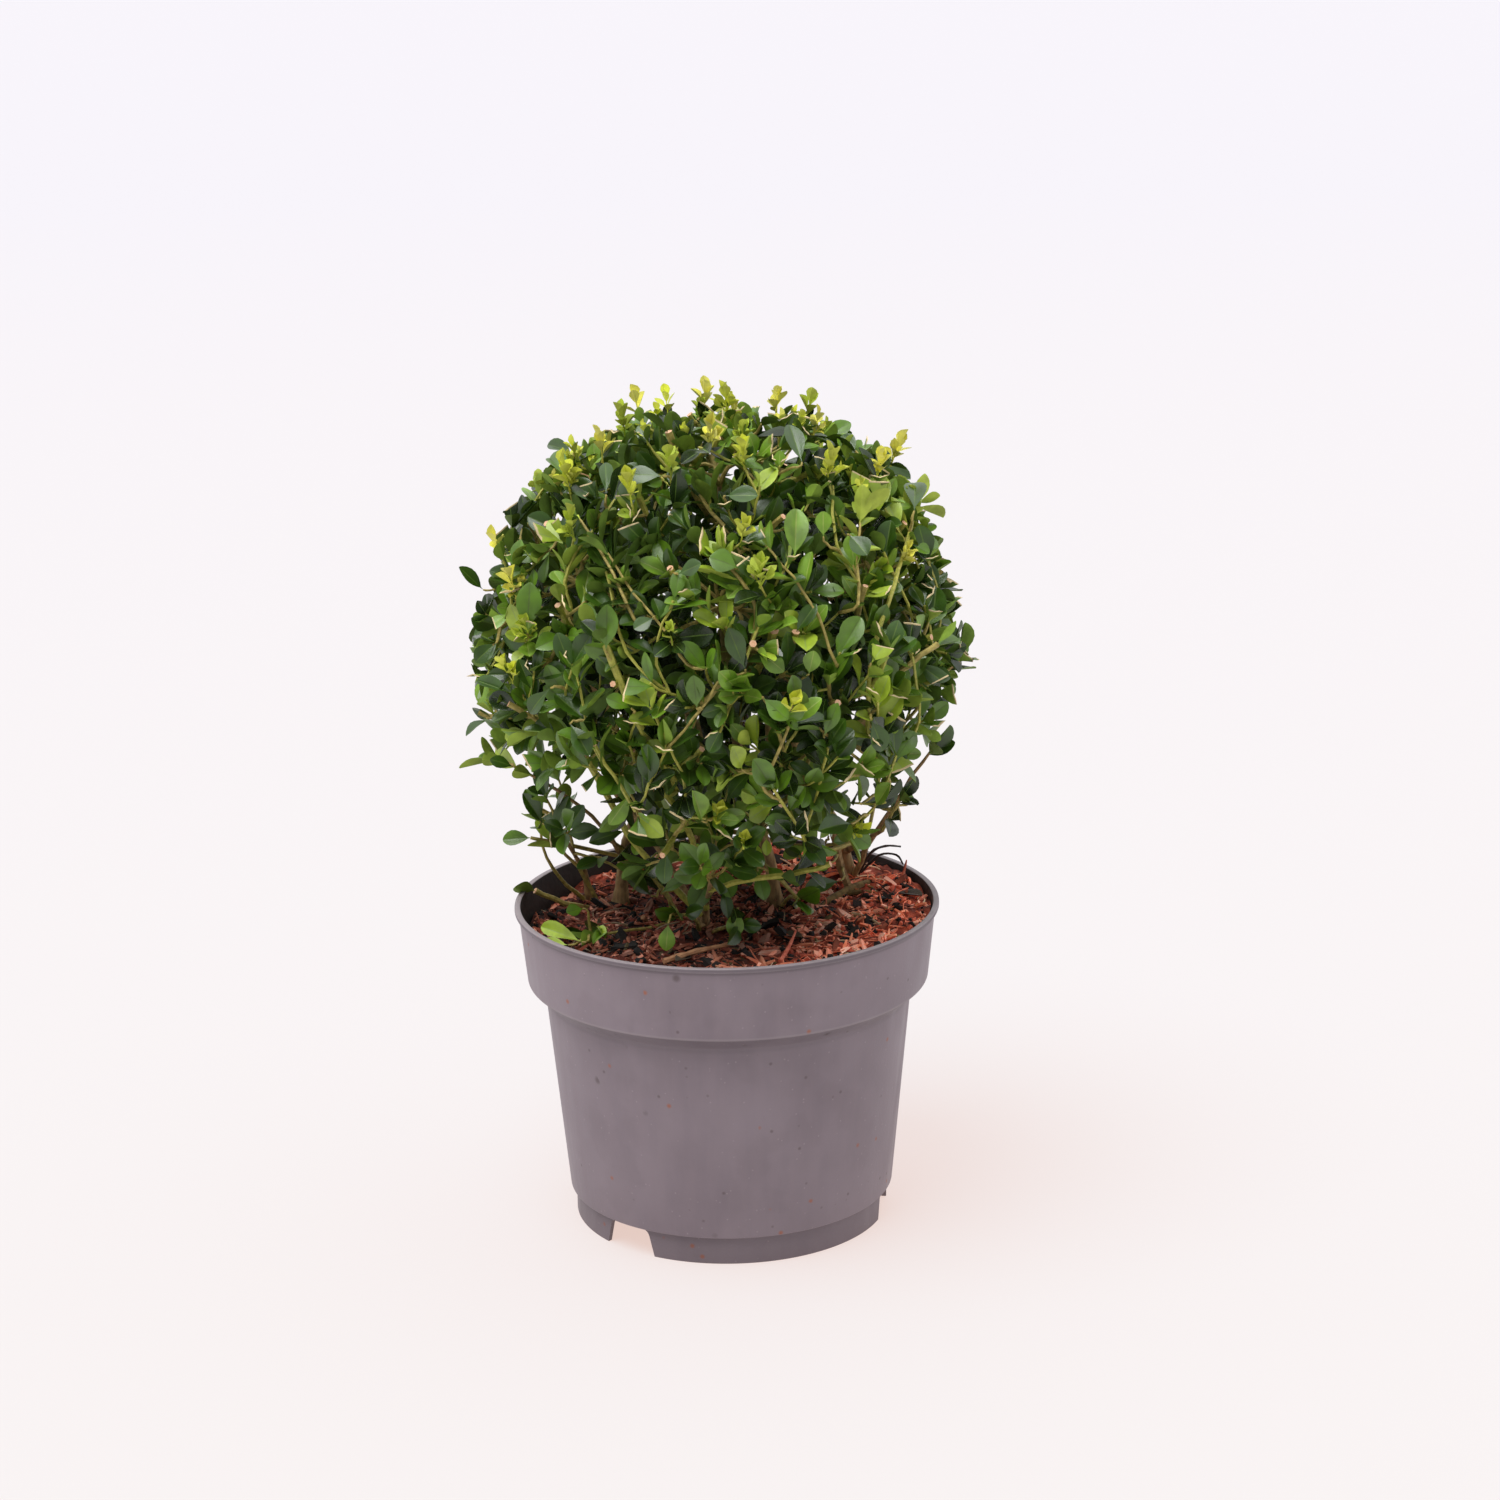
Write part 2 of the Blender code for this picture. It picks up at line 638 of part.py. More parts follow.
class Growth:
    """One mass of foliage as it grows: closed pieces, and the places that a twig can leave."""

    def __init__(self, space, start, along, cored):
        self.space = space
        self.cored = cored
        self.pieces = []
        self.leaves = 0
        self.nodes = [(start, along, TWIG_RADIUS * 1.25)]

    def fits(self, points):
        return all(self.space.holds(p) for p in points)

    def add_twig(self, target, dice):
        """Grow a twig to its target from the place that suits it best, if it fits."""
        def cost(node):
            place, along, _ = node
            way = target - place
            turn = 1.0 - along.dot(way.normalized())
            return way.length * (1.0 + 0.9 * turn)

        ahead = [node for node in self.nodes if (target - node[0]).length > 4.0]
        place, along, thick = min(ahead, key=cost)
        way = target - place
        bend = along * way.length * TWIG_BEND
        middle = place.lerp(target, 0.5) + bend * 0.6
        foot = min(TWIG_RADIUS, thick * 0.85)
        path = [place, middle, target] if way.length > STRAIGHT_TWIG else [place, target]
        radii = [foot, (foot + TWIG_TIP_RADIUS) / 2, TWIG_TIP_RADIUS][-len(path):]
        if not all(self.space.holds(p) for p in path):
            return None
        checked = [place.lerp(path[1], 0.3)] + path[1:]
        for a, b in zip(checked, checked[1:]):
            if not self.space.clear_of_limbs(a, b, TWIG_RADIUS):
                return None
        self.pieces.append(tube(path, radii, 3))
        for share in (0.35, 0.6):
            spot = place_at(path, share * path_length(path))
            self.nodes.append((spot, way.normalized(), radii[0] * 0.85))
        return path

    def add_leaf(self, root, along, face, size):
        """Add a leaf with its root in the twig, unless it leaves the space or meets a limb."""
        length = LEAF_LENGTH * size
        width = LEAF_WIDTH * size
        face = (face - along * face.dot(along)).normalized()
        points = leaf_points(root, along, face, length, width)
        if not self.fits(points[1:]):
            return False
        if not self.space.clear_of_limbs(root + along * 2.0, points[1], width / 2):
            return False
        self.pieces.append((points, LEAF_FACES))
        self.leaves += 1
        return True

    def add_leaves(self, path, dice):
        """A leaf at the twig's end, and more by turns along its outer part."""
        target = path[-1]
        along = (target - path[-2]).normalized()
        outward = (target - CROWN_CENTRE).normalized()
        side = along.orthogonal().normalized()
        turn = dice.uniform(0, math.tau)
        length = path_length(path)
        distance = length - 1.5
        number = 0
        while distance > 0.15 * length and number < MOST_LEAVES:
            root = place_at(path, distance)
            if self.cored and (root - CROWN_CENTRE).length < LEAVES_FROM:
                break
            turn += GOLDEN_ANGLE
            around = Matrix.Rotation(turn, 3, along) @ side
            tilt = math.radians(dice.uniform(*SIDE_LEAF_TILT) if number else dice.uniform(*END_LEAF_TILT))
            blade = along * math.cos(tilt) + around * math.sin(tilt)
            blade = (blade + outward * 0.25).normalized()
            face = along * math.sin(tilt) - around * math.cos(tilt) + outward * 0.6
            size = dice.uniform(0.86, 1.12)
            for smaller in (1.0, 0.85, 0.7) if number else (1.12, 1.0, 0.85, 0.7):
                if self.add_leaf(root - blade * ROOT_DEPTH, blade, face, size * smaller):
                    break
            distance -= LEAF_SPACING * dice.uniform(0.85, 1.15)
            number += 1


def core_points(hub, space):
    """A flattened ball round the hub, drawn in where it would leave the space or meet a limb."""
    work = bmesh.new()
    bmesh.ops.create_icosphere(work, subdivisions=1, radius=1.0)
    outward = (hub - CROWN_CENTRE).normalized()
    points = []
    for corner in work.verts:
        radial = outward * corner.co.dot(outward)
        way = radial * CORE_DEPTH + (corner.co - radial) * CORE_RADIUS
        while way.length > 4.0:
            if space.holds(hub + way) and space.clear_of_limbs(hub, hub + way, CORE_SPOKE):
                break
            way *= 0.92
        points.append(hub + way)
    faces = [tuple(corner.index for corner in face.verts) for face in work.faces]
    work.free()
    return points, faces


def fuse(name, pieces):
    """Join closed pieces into one solid by a single union."""
    first, *rest = pieces
    mass = make_object(name, first[0], first[1], LEAF_LOOK)
    group = bpy.data.collections.new(name + "_pieces")
    for number, (points, faces) in enumerate(rest):
        piece = bpy.data.objects.new(f"piece_{number}", make_mesh("piece", points, faces))
        group.objects.link(piece)
    join = mass.modifiers.new("join", "BOOLEAN")
    join.operation = "UNION"
    join.operand_type = "COLLECTION"
    join.collection = group
    join.solver = "MANIFOLD"
    apply_modifiers(mass)
    for piece in list(group.objects):
        bpy.data.objects.remove(piece, do_unlink=True)
    bpy.data.collections.remove(group)
    return mass, keep_largest_shell(mass)


def keep_largest_shell(thing):
    """Drop loose scraps and the walls of sealed hollows, and tell whether the solid is sound."""
    for tiny in (TINY_EDGE * MM, 0.1 * TINY_EDGE * MM, 0.0):
        work = bmesh.new()
        work.from_mesh(thing.data)
        if tiny:
            bmesh.ops.dissolve_degenerate(work, edges=work.edges, dist=tiny)
        for shell in shells_of(work)[1:]:
            bmesh.ops.delete(work, geom=shell, context="FACES")
        sound = is_sound(work)
        if sound:
            work.to_mesh(thing.data)
        work.free()
        if sound:
            return True
    return False


def shells_of(work):
    """The mesh's separate shells as lists of faces, the largest first."""
    unseen = set(work.faces)
    shells = []
    while unseen:
        shell = [unseen.pop()]
        for face in shell:
            for edge in face.edges:
                for other in edge.link_faces:
                    if other in unseen:
                        unseen.remove(other)
                        shell.append(other)
        shells.append(shell)
    return sorted(shells, key=len, reverse=True)


def is_sound(work):
    """Whether the mesh is closed and stays so when points that almost touch are joined."""
    if not all(edge.is_manifold for edge in work.edges):
        return False
    test = work.copy()
    bmesh.ops.remove_doubles(test, verts=test.verts, dist=0.1 * TINY_EDGE * MM)
    sound = all(edge.is_manifold for edge in test.edges) and all(v.is_manifold for v in test.verts)
    test.free()
    return sound


def grow_mass(name, sites, limbs, targets, dice):
    """One mass: its stem from the limb's tip, a core where the ball is dense, twigs and leaves."""
    limb = limbs[name]
    space = Space(name, sites, list(limbs.values()))
    start = limb.tip + limb.tip_direction * GAP
    sunk = start + limb.tip_direction * 3.0
    hub = sites[name]
    cored = not name.startswith("foliage_low_")
    growth = Growth(space, hub, (hub - limb.tip).normalized(), cored)
    growth.nodes.append((sunk.lerp(hub, 0.5), limb.tip_direction, TWIG_RADIUS * 1.2))
    if cored:
        growth.pieces.append(core_points(hub, space))
    foot = BOUGH_TIP_RADIUS * 0.9
    growth.pieces.append(tube([start, sunk, hub], [foot, foot, TWIG_RADIUS * 1.2], 5))
    for target in sorted(targets, key=lambda place: (place - hub).length):
        path = growth.add_twig(target, dice)
        if path:
            growth.add_leaves(path, dice)
    return growth


def make_mass(name, sites, limbs, targets):
    """Grow and fuse a mass, again from its next seed for as long as the union isn't sound."""
    for attempt in range(ATTEMPTS):
        growth = grow_mass(name, sites, limbs, targets, random.Random(f"{name} {SEED + attempt}"))
        mass, sound = fuse(name, growth.pieces)
        if sound:
            break
        if attempt < ATTEMPTS - 1:
            bpy.data.objects.remove(mass, do_unlink=True)
    print(name, "seed", SEED + attempt, "sound" if sound else "NOT SOUND", growth.leaves, "leaves",
          triangle_count(mass), "triangles")
    return growth.leaves


def triangle_count(thing):
    return sum(len(face.vertices) - 2 for face in thing.data.polygons)


def main():
    clear_scene()
    make_pot()
    soil = make_soil()
    soil_tree = BVHTree.FromPolygons([v.co.copy() for v in soil.data.vertices],
                                     [tuple(p.vertices) for p in soil.data.polygons])
    sites = mass_sites()
    limbs = make_stems(soil_tree, sites)
    limbs = make_boughs(limbs, sites)
    targets = deal_targets(sites, random.Random(SEED))
    leaves = sum(make_mass(name, sites, limbs, targets[name]) for name in sites)
    solids = bpy.context.scene.collection.objects
    print(len(solids), "solids,", leaves, "leaves,", sum(triangle_count(s) for s in solids), "triangles")
    corners = [v.co / MM for s in solids for v in s.data.vertices]
    for axis, letter in enumerate("xyz"):
        values = [corner[axis] for corner in corners]
        print(letter, round(min(values), 1), "to", round(max(values), 1), "mm")


main()
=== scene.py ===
# %% [markdown]
# A Japanese holly, grown on several slender stems in a round nursery pot and clipped to a ball.
# The frame holds its solids: pot, soil, stems, boughs and masses of foliage. This script dresses
# them, after the camera and the light, from the pot up to the soil, the wood and the leaves.

# %% Load the frame
import math
import random

import bmesh
import bpy
import numpy as np
from mathutils import Matrix, Vector, noise


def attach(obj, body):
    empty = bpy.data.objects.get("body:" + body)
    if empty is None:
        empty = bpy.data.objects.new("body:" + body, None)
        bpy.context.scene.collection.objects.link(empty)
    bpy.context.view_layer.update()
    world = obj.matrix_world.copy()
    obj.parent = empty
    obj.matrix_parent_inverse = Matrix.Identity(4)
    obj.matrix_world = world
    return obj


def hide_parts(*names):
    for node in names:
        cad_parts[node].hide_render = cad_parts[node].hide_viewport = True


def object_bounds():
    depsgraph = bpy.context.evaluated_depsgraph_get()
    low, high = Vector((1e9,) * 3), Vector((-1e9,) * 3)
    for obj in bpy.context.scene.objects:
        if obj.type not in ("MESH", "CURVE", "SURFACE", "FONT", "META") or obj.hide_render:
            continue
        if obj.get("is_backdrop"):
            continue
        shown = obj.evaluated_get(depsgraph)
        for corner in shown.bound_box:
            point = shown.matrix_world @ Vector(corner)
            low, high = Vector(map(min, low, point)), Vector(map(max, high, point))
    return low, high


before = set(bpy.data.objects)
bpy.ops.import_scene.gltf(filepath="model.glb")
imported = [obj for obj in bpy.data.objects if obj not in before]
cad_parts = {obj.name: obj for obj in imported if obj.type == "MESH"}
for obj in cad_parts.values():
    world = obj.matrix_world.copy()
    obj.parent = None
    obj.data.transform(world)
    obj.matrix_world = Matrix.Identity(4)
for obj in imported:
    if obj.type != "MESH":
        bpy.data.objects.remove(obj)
cad_low, cad_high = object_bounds()
MM = 0.001
print("nodes:", len(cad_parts), "box in mm:", [round(v / MM) for v in (*cad_low, *cad_high)])

# %% [markdown]
# The photograph looks down on the plant at about sixteen degrees with a long lens, which keeps the
# pot's sides nearly straight. The camera could be aimed by eye. Its place was worked out from the
# pot's rim, collar and foot instead, because a round pot of known size fixes lens, height and tilt.

# %% Camera
IMAGE_SIDE = 1500
FOCAL_PIXELS = 3400.0
SENSOR_WIDTH = 36.0
CAMERA_PITCH = math.radians(15.77)
CAMERA_ROLL = math.radians(-0.888)
CAMERA_DISTANCE = 1.505
CAMERA_TARGET = Vector((0.01142, 0.0, 0.21468))


def make_camera():
    data = bpy.data.cameras.new("camera")
    data.sensor_width = SENSOR_WIDTH
    data.lens = FOCAL_PIXELS / IMAGE_SIDE * SENSOR_WIDTH
    data.clip_start = 0.05
    data.clip_end = 60.0
    camera = bpy.data.objects.new("camera", data)
    back = Vector((0.0, -math.cos(CAMERA_PITCH), math.sin(CAMERA_PITCH)))
    level = Vector((1.0, 0.0, 0.0))
    upright = back.cross(level)
    right = level * math.cos(CAMERA_ROLL) + upright * math.sin(CAMERA_ROLL)
    up = back.cross(right)
    turn = Matrix((right, up, back)).transposed().to_4x4()
    camera.matrix_world = Matrix.Translation(CAMERA_TARGET + back * CAMERA_DISTANCE) @ turn
    bpy.context.scene.collection.objects.link(camera)
    bpy.context.scene.camera = camera
    return camera


camera = make_camera()
print("lens", round(camera.data.lens, 1), "mm at", [round(v, 3) for v in camera.location])

# %% [markdown]
# Colours are written as they look on a screen, and turned into the linear values that a shader
# wants. They could be linear from the start, but nobody can picture those. A small helper makes
# each finish, so that its colour, roughness and gloss stay side by side.

# %% Colours and finishes
def linear(red, green, blue):
    """A screen colour from 0 to 255 as a shader's linear colour."""
    def channel(value):
        value /= 255.0
        return value / 12.92 if value <= 0.04045 else ((value + 0.055) / 1.055) ** 2.4
    return (channel(red), channel(green), channel(blue), 1.0)


def plain_finish(name, colour, roughness, specular=0.5):
    """A finish of one colour."""
    material = bpy.data.materials.new(name)
    material.use_nodes = True
    shader = material.node_tree.nodes["Principled BSDF"]
    shader.inputs["Base Color"].default_value = linear(*colour)
    shader.inputs["Roughness"].default_value = roughness
    shader.inputs["Specular IOR Level"].default_value = specular
    return material


def open_finish(name, colour, roughness, specular=0.5):
    """A finish to put a pattern on: its material, node tree, shader and places on the piece."""
    material = plain_finish(name, colour, roughness, specular)
    tree = material.node_tree
    place = tree.nodes.new("ShaderNodeTexCoord").outputs["Object"]
    return material, tree, tree.nodes["Principled BSDF"], place


print("white as a shader has it:", linear(255, 255, 255))

# %% [markdown]
# A pattern is a chain of nodes, and written out it would fill pages, because the same few steps
# come again and again. These helpers take a plain value or another node's output alike, so that a
# pattern reads like a sum.

# %% Helpers for nodes
def feed(tree, socket, value):
    """Give a socket another node's output, or a plain value."""
    if isinstance(value, bpy.types.NodeSocket):
        tree.links.new(value, socket)
    else:
        socket.default_value = value


def feed_inputs(tree, node, inputs):
    """Feed a node's inputs by name; an underscore stands for a space."""
    for label, value in inputs.items():
        feed(tree, node.inputs[label.replace("_", " ")], value)
    return node


def new_node(tree, kind, **inputs):
    return feed_inputs(tree, tree.nodes.new(kind), inputs)


def reckon(tree, operation, first, second):
    """One step of arithmetic with two numbers."""
    node = tree.nodes.new("ShaderNodeMath")
    node.operation = operation
    feed(tree, node.inputs[0], first)
    feed(tree, node.inputs[1], second)
    return node.outputs["Value"]


def ramp(tree, value, low, high, at_low=0.0, at_high=1.0, shape="LINEAR"):
    """Turn a number that runs from low to high into one that runs between two others."""
    node = new_node(tree, "ShaderNodeMapRange", Value=value, From_Min=low, From_Max=high,
                    To_Min=at_low, To_Max=at_high)
    node.interpolation_type = shape
    return node.outputs["Result"]


def one_axis(tree, place, axis):
    return new_node(tree, "ShaderNodeSeparateXYZ", Vector=place).outputs[axis]


def stretched(tree, place, upright):
    """The same places with their heights scaled, so that a pattern on them runs up and down."""
    return new_node(tree, "ShaderNodeMapping", Vector=place, Scale=(1.0, 1.0, upright)).outputs["Vector"]


def mix_colours(tree, mask, first, second):
    """Blend two colours, each an output or a plain colour, by a mask."""
    node = tree.nodes.new("ShaderNodeMix")
    node.data_type = "RGBA"
    return feed_inputs(tree, node, {"Factor": mask, "A": first, "B": second}).outputs["Result"]


def tinted(tree, base, mask, amount, colour):
    """Lay a colour over another where a mask says so, as strongly as the amount says."""
    return mix_colours(tree, reckon(tree, "MULTIPLY", mask, amount), base, linear(*colour))


def add_bump(tree, shader, height, strength, distance):
    bump = new_node(tree, "ShaderNodeBump", Strength=strength, Distance=distance, Height=height)
    feed(tree, shader.inputs["Normal"], bump.outputs["Normal"])


def add_group(tree, group, place, **inputs):
    """Put a pattern group in a tree, fed with places, and set its own values."""
    node = tree.nodes.new("ShaderNodeGroup")
    node.node_tree = group
    return feed_inputs(tree, node, {"Vector": place, **inputs})


print("node helpers for Blender", bpy.app.version_string)

# %% [markdown]
# Nothing here is of one flat colour. A picture could show that, but it would have to be laid on
# every leaf. Patterns that follow the place on a piece need none. Those that several finishes share
# are node groups, built once: one mottles a surface with soft patches, and one scatters specks over
# it. The compost is painted darker round the stems, as painted shade of the crown.

# %% Patterns that finishes share
PATCH_EDGE = (0.32, 0.68)
SPECK_EDGE = (0.32, 0.12)
GRAIN_STRENGTH = 0.6
PAINTED_SHADE_CENTRE = (-0.030, -0.014, 0.139)  # where the painted shade of the crown on the compost is darkest, in metres
PAINTED_SHADE_FADES_FROM_TO = (0.056, 0.108)  # the painted shade fades out between these distances from there
# how much brighter the compost and litter are outside the painted shade
UNSHADED_BRIGHTNESS = 1.42


def new_group(name, inputs, outputs):
    """A node group that takes places and these numbers, with its two end nodes."""
    group = bpy.data.node_groups.new(name, "ShaderNodeTree")
    group.interface.new_socket("Vector", in_out="INPUT", socket_type="NodeSocketVector")
    for label, value in inputs.items():
        socket = group.interface.new_socket(label, in_out="INPUT", socket_type="NodeSocketFloat")
        socket.default_value = value
    for label in outputs:
        group.interface.new_socket(label, in_out="OUTPUT", socket_type="NodeSocketFloat")
    return group, group.nodes.new("NodeGroupInput").outputs, group.nodes.new("NodeGroupOutput").inputs


def make_mottle_group():
    """Soft patches as a mask from 0 to 1, and a fine grain beside them."""
    group, start, end = new_group("mottle", {"Scale": 60.0, "Fine Scale": 400.0}, ("Mask", "Fine"))
    broad, fine = (new_node(group, "ShaderNodeTexNoise", Vector=start["Vector"], Scale=start[label],
                            Detail=detail) for label, detail in (("Scale", 4.0), ("Fine Scale", 3.0)))
    feed(group, end["Mask"], ramp(group, broad.outputs["Fac"], *PATCH_EDGE))
    feed(group, end["Fine"], fine.outputs["Fac"])
    return group


def make_speck_group():
    """Round specks in a share of the cells of a pattern, as a mask that is 1 on a speck."""
    group, start, end = new_group("specks", {"Scale": 300.0, "Share": 0.1}, ("Mask",))
    cells = new_node(group, "ShaderNodeTexVoronoi", Vector=start["Vector"], Scale=start["Scale"])
    chance = new_node(group, "ShaderNodeSeparateColor", Color=cells.outputs["Color"]).outputs["Red"]
    chosen = reckon(group, "LESS_THAN", chance, start["Share"])
    near = ramp(group, cells.outputs["Distance"], *SPECK_EDGE)
    feed(group, end["Mask"], reckon(group, "MULTIPLY", near, chosen))
    return group


MOTTLE = make_mottle_group()
SPECKS = make_speck_group()


def with_painted_shade(tree, place, colour, shade_depth):
    """Darken a colour round the stems and at the left: painted shade of the crown."""
    away, share = (tree.nodes.new("ShaderNodeVectorMath") for _ in range(2))
    away.operation, share.operation = "DISTANCE", "SCALE"
    feed(tree, away.inputs[0], place)
    feed(tree, away.inputs[1], PAINTED_SHADE_CENTRE)
    brightness = ramp(tree, away.outputs["Value"], *PAINTED_SHADE_FADES_FROM_TO,
                      UNSHADED_BRIGHTNESS * (1.0 - shade_depth), UNSHADED_BRIGHTNESS)
    feed(tree, share.inputs[0], colour)
    feed(tree, share.inputs["Scale"], brightness)
    return share.outputs["Vector"]


def mottled_finish(name, dark, light, scale, fine_scale, roughness, bump=0.0004, specular=0.5, shade_depth=0.0):
    """A finish that wanders between two colours, with a fine grain in its surface."""
    material, tree, shader, place = open_finish(name, dark, roughness, specular)
    mottle = add_group(tree, MOTTLE, place, Scale=scale, Fine_Scale=fine_scale)
    colour = mix_colours(tree, mottle.outputs["Mask"], linear(*dark), linear(*light))
    # painted shade of the crown, where a finish asks for it
    if shade_depth > 0.0:
        colour = with_painted_shade(tree, place, colour, shade_depth)
    feed(tree, shader.inputs["Base Color"], colour)
    add_bump(tree, shader, mottle.outputs["Fine"], GRAIN_STRENGTH, bump)
    return material


print("pattern groups:", [group.name for group in bpy.data.node_groups])

# %% [markdown]
# The plant was photographed in a white studio, with wide soft light from above, behind and both
# sides, and little from the side of the camera, so a round thing is darkest in its middle. Lamps
# near the plant would light the far floor unevenly. A world whose brightness depends on the
# direction gives the soft part, and one very wide sun, high at the left, gives the leaves their
# bright and dark sides. The floor is a wide pale disc. In the photograph it hardly takes a shadow,
# so it is made like a lit table: most of its brightness is its own warm glow. The little light that
# it throws back is bluish, so the faint shadow looks warm.

# %% Floor and light
FLOOR_RADIUS = 14.0
FLOOR_SIDES = 96
FLOOR_COLOUR = (89, 119, 129)
FLOOR_ROUGHNESS = 0.9
FLOOR_GLOSS = 0.1
FLOOR_GLOW_NEAR = (250, 222, 211)
FLOOR_GLOW_FAR = (245, 219, 217)
FLOOR_GLOW_FROM_TO = (-0.3, 4.0)  # how far behind the plant the glow changes, in metres
FLOOR_GLOW_STRENGTH = 0.815
WORLD_COLOUR = (0.97, 0.97, 1.0, 1.0)
WORLD_STRENGTH = 0.88
WORLD_BY_DIRECTION = (
    # axis, from, to, brightness at either end
    ("X", -1.0, 1.0, 1.05, 1.22),
    ("Y", -1.0, 0.2, 0.36, 1.00),
    ("Z", 0.0, 1.0, 0.80, 1.44),
)
SUN_FROM = Vector((-0.44, -0.40, 1.40))
SUN_STRENGTH = 2.3
SUN_ANGLE = math.radians(40.0)


def make_floor():
    work = bmesh.new()
    bmesh.ops.create_circle(work, cap_ends=True, segments=FLOOR_SIDES, radius=FLOOR_RADIUS)
    mesh = bpy.data.meshes.new("floor")
    work.to_mesh(mesh)
    work.free()
    floor = bpy.data.objects.new("floor", mesh)
    finish, tree, shader, place = open_finish("pale_floor", FLOOR_COLOUR, FLOOR_ROUGHNESS, FLOOR_GLOSS)
    away = ramp(tree, one_axis(tree, place, "Y"), *FLOOR_GLOW_FROM_TO)
    glow = mix_colours(tree, away, linear(*FLOOR_GLOW_NEAR), linear(*FLOOR_GLOW_FAR))
    feed(tree, shader.inputs["Emission Color"], glow)
    shader.inputs["Emission Strength"].default_value = FLOOR_GLOW_STRENGTH
    floor.data.materials.append(finish)
    bpy.context.scene.collection.objects.link(floor)
    floor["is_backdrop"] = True


def make_world():
    """A world that is brighter above, behind the plant and at its right than near the camera."""
    world = bpy.data.worlds.new("studio")
    world.use_nodes = True
    tree = world.node_tree
    light = tree.nodes["Background"]
    light.inputs["Color"].default_value = WORLD_COLOUR
    direction = tree.nodes.new("ShaderNodeTexCoord").outputs["Generated"]
    strength = WORLD_STRENGTH
    for axis, *ends in WORLD_BY_DIRECTION:
        share = ramp(tree, one_axis(tree, direction, axis), *ends, "SMOOTHSTEP")
        strength = reckon(tree, "MULTIPLY", share, strength)
    feed(tree, light.inputs["Strength"], strength)
    bpy.context.scene.world = world


def make_sun():
    data = bpy.data.lights.new("sun", "SUN")
    data.energy = SUN_STRENGTH
    data.angle = SUN_ANGLE
    sun = bpy.data.objects.new("sun", data)
    sun.rotation_euler = (-SUN_FROM).to_track_quat("-Z", "Y").to_euler()
    bpy.context.scene.collection.objects.link(sun)


make_floor()
make_world()
make_sun()
bpy.context.scene.view_settings.view_transform = "Standard"
print("world strength", WORLD_STRENGTH, "sun", SUN_STRENGTH)

# %% [markdown]
# Every piece of this model is a mesh that sits at the origin with its place in its points. One
# helper turns points in millimetres into such an object and gives each face its finish; another
# hides the solids that the piece stands for. Smooth shading with sharp edges by angle keeps round
# things round and edges crisp. A pot, a twig and a stem are all made of rings of points.

# %% Making pieces
UP = Vector((0.0, 0.0, 1.0))


def square_to(way, along):
    """The direction that is square to one way and nearest to the other."""
    return (way - along * way.dot(along)).normalized()


def new_piece(name, points, faces, finishes, face_finish=None, sharp_angle=40.0):
    """An object from points in millimetres, with a finish number for each face."""
    mesh = bpy.data.meshes.new(name)
    mesh.from_pydata((np.asarray(points, float) * MM).tolist(), [], faces)
    for finish in finishes:
        mesh.materials.append(finish)
    if face_finish is not None:
        mesh.polygons.foreach_set("material_index", np.asarray(face_finish, np.int32))
    mesh.shade_smooth()
    mesh.set_sharp_from_angle(angle=math.radians(sharp_angle))
    mesh.update()
    piece = bpy.data.objects.new(name, mesh)
    bpy.context.scene.collection.objects.link(piece)
    return piece


def stand_for(piece, slot, *nodes):
    """Let a piece ride on the plant and hide the CAD nodes that it replaces; the slot is not used."""
    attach(piece, "root")
    if nodes:
        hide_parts(*nodes)


def face_outwards(mesh):
    work = bmesh.new()
    work.from_mesh(mesh)
    bmesh.ops.recalc_face_normals(work, faces=work.faces)
    work.to_mesh(mesh)
    work.free()


def triangles_in(piece):
    return sum(len(face.vertices) - 2 for face in piece.data.polygons)


def ring_faces(first, second, sides):
    return [(first + i, first + (i + 1) % sides, second + (i + 1) % sides, second + i) for i in range(sides)]


def tube_faces(rings, sides):
    """The faces of a closed tube of so many rings."""
    faces = [tuple(reversed(range(sides)))]
    for k in range(rings - 1):
        faces += ring_faces(k * sides, (k + 1) * sides, sides)
    last = (rings - 1) * sides
    return faces + [tuple(range(last, last + sides))]


def turned_point(radius, z, turn):
    return (radius * math.cos(turn), radius * math.sin(turn), z)


def level_ring(radius, z, sides):
    return [turned_point(radius, z, math.tau * i / sides) for i in range(sides)]


print("a tube of 3 rings with 4 sides has", len(tube_faces(3, 4)), "faces")

# %% [markdown]
# The pot is moulded from thin plastic, mauve-grey outside and black inside. From the ground up it
# has a foot ring set back a little, with three drain notches, a tapering body, a slanted shelf, a
# deep collar and a flat lip. A round pot is one section turned about its axis. The section is
# drawn here with small rounded corners, because the light that they catch is what shows the edges.
# Its tone changes with the height as painted shade, darker towards the foot, under the collar and at the
# lip, and it is pale where edges wear and catch a painted highlight.

# %% Pot
POT_SIDES = 192
POT_HEIGHT = 145.6
POT_WALL = 1.6
LIP_RADIUS = 95.0
LIP_HEIGHT = 2.0
LIP_WIDTH = 2.6
COLLAR_TOP_RADIUS = 93.4
COLLAR_FOOT_RADIUS = 90.0
COLLAR_FOOT_Z = 111.5
BODY_TOP_RADIUS = 82.3
BODY_TOP_Z = 105.0
BODY_FOOT_RADIUS = 73.4
FOOT_LINE_Z = 12.7
FOOT_RADIUS = 70.9
FOOT_WALL = 2.2
FLOOR_THICK = 1.8
NOTCH_AZIMUTHS = (-130.0, -10.0, 110.0)
NOTCH_WIDTH_LOW = 28.0
NOTCH_WIDTH_HIGH = 21.0
NOTCH_HEIGHT = 12.2
NOTCH_CORNER = 3.0
NOTCH_REACH = (12.0, 8.0)  # how far its cutter goes inside and outside the foot ring
POT_SHARP_ANGLE = math.radians(32)
WALL_SLOPE = 0.4  # how much higher a wall's inside turns, in walls
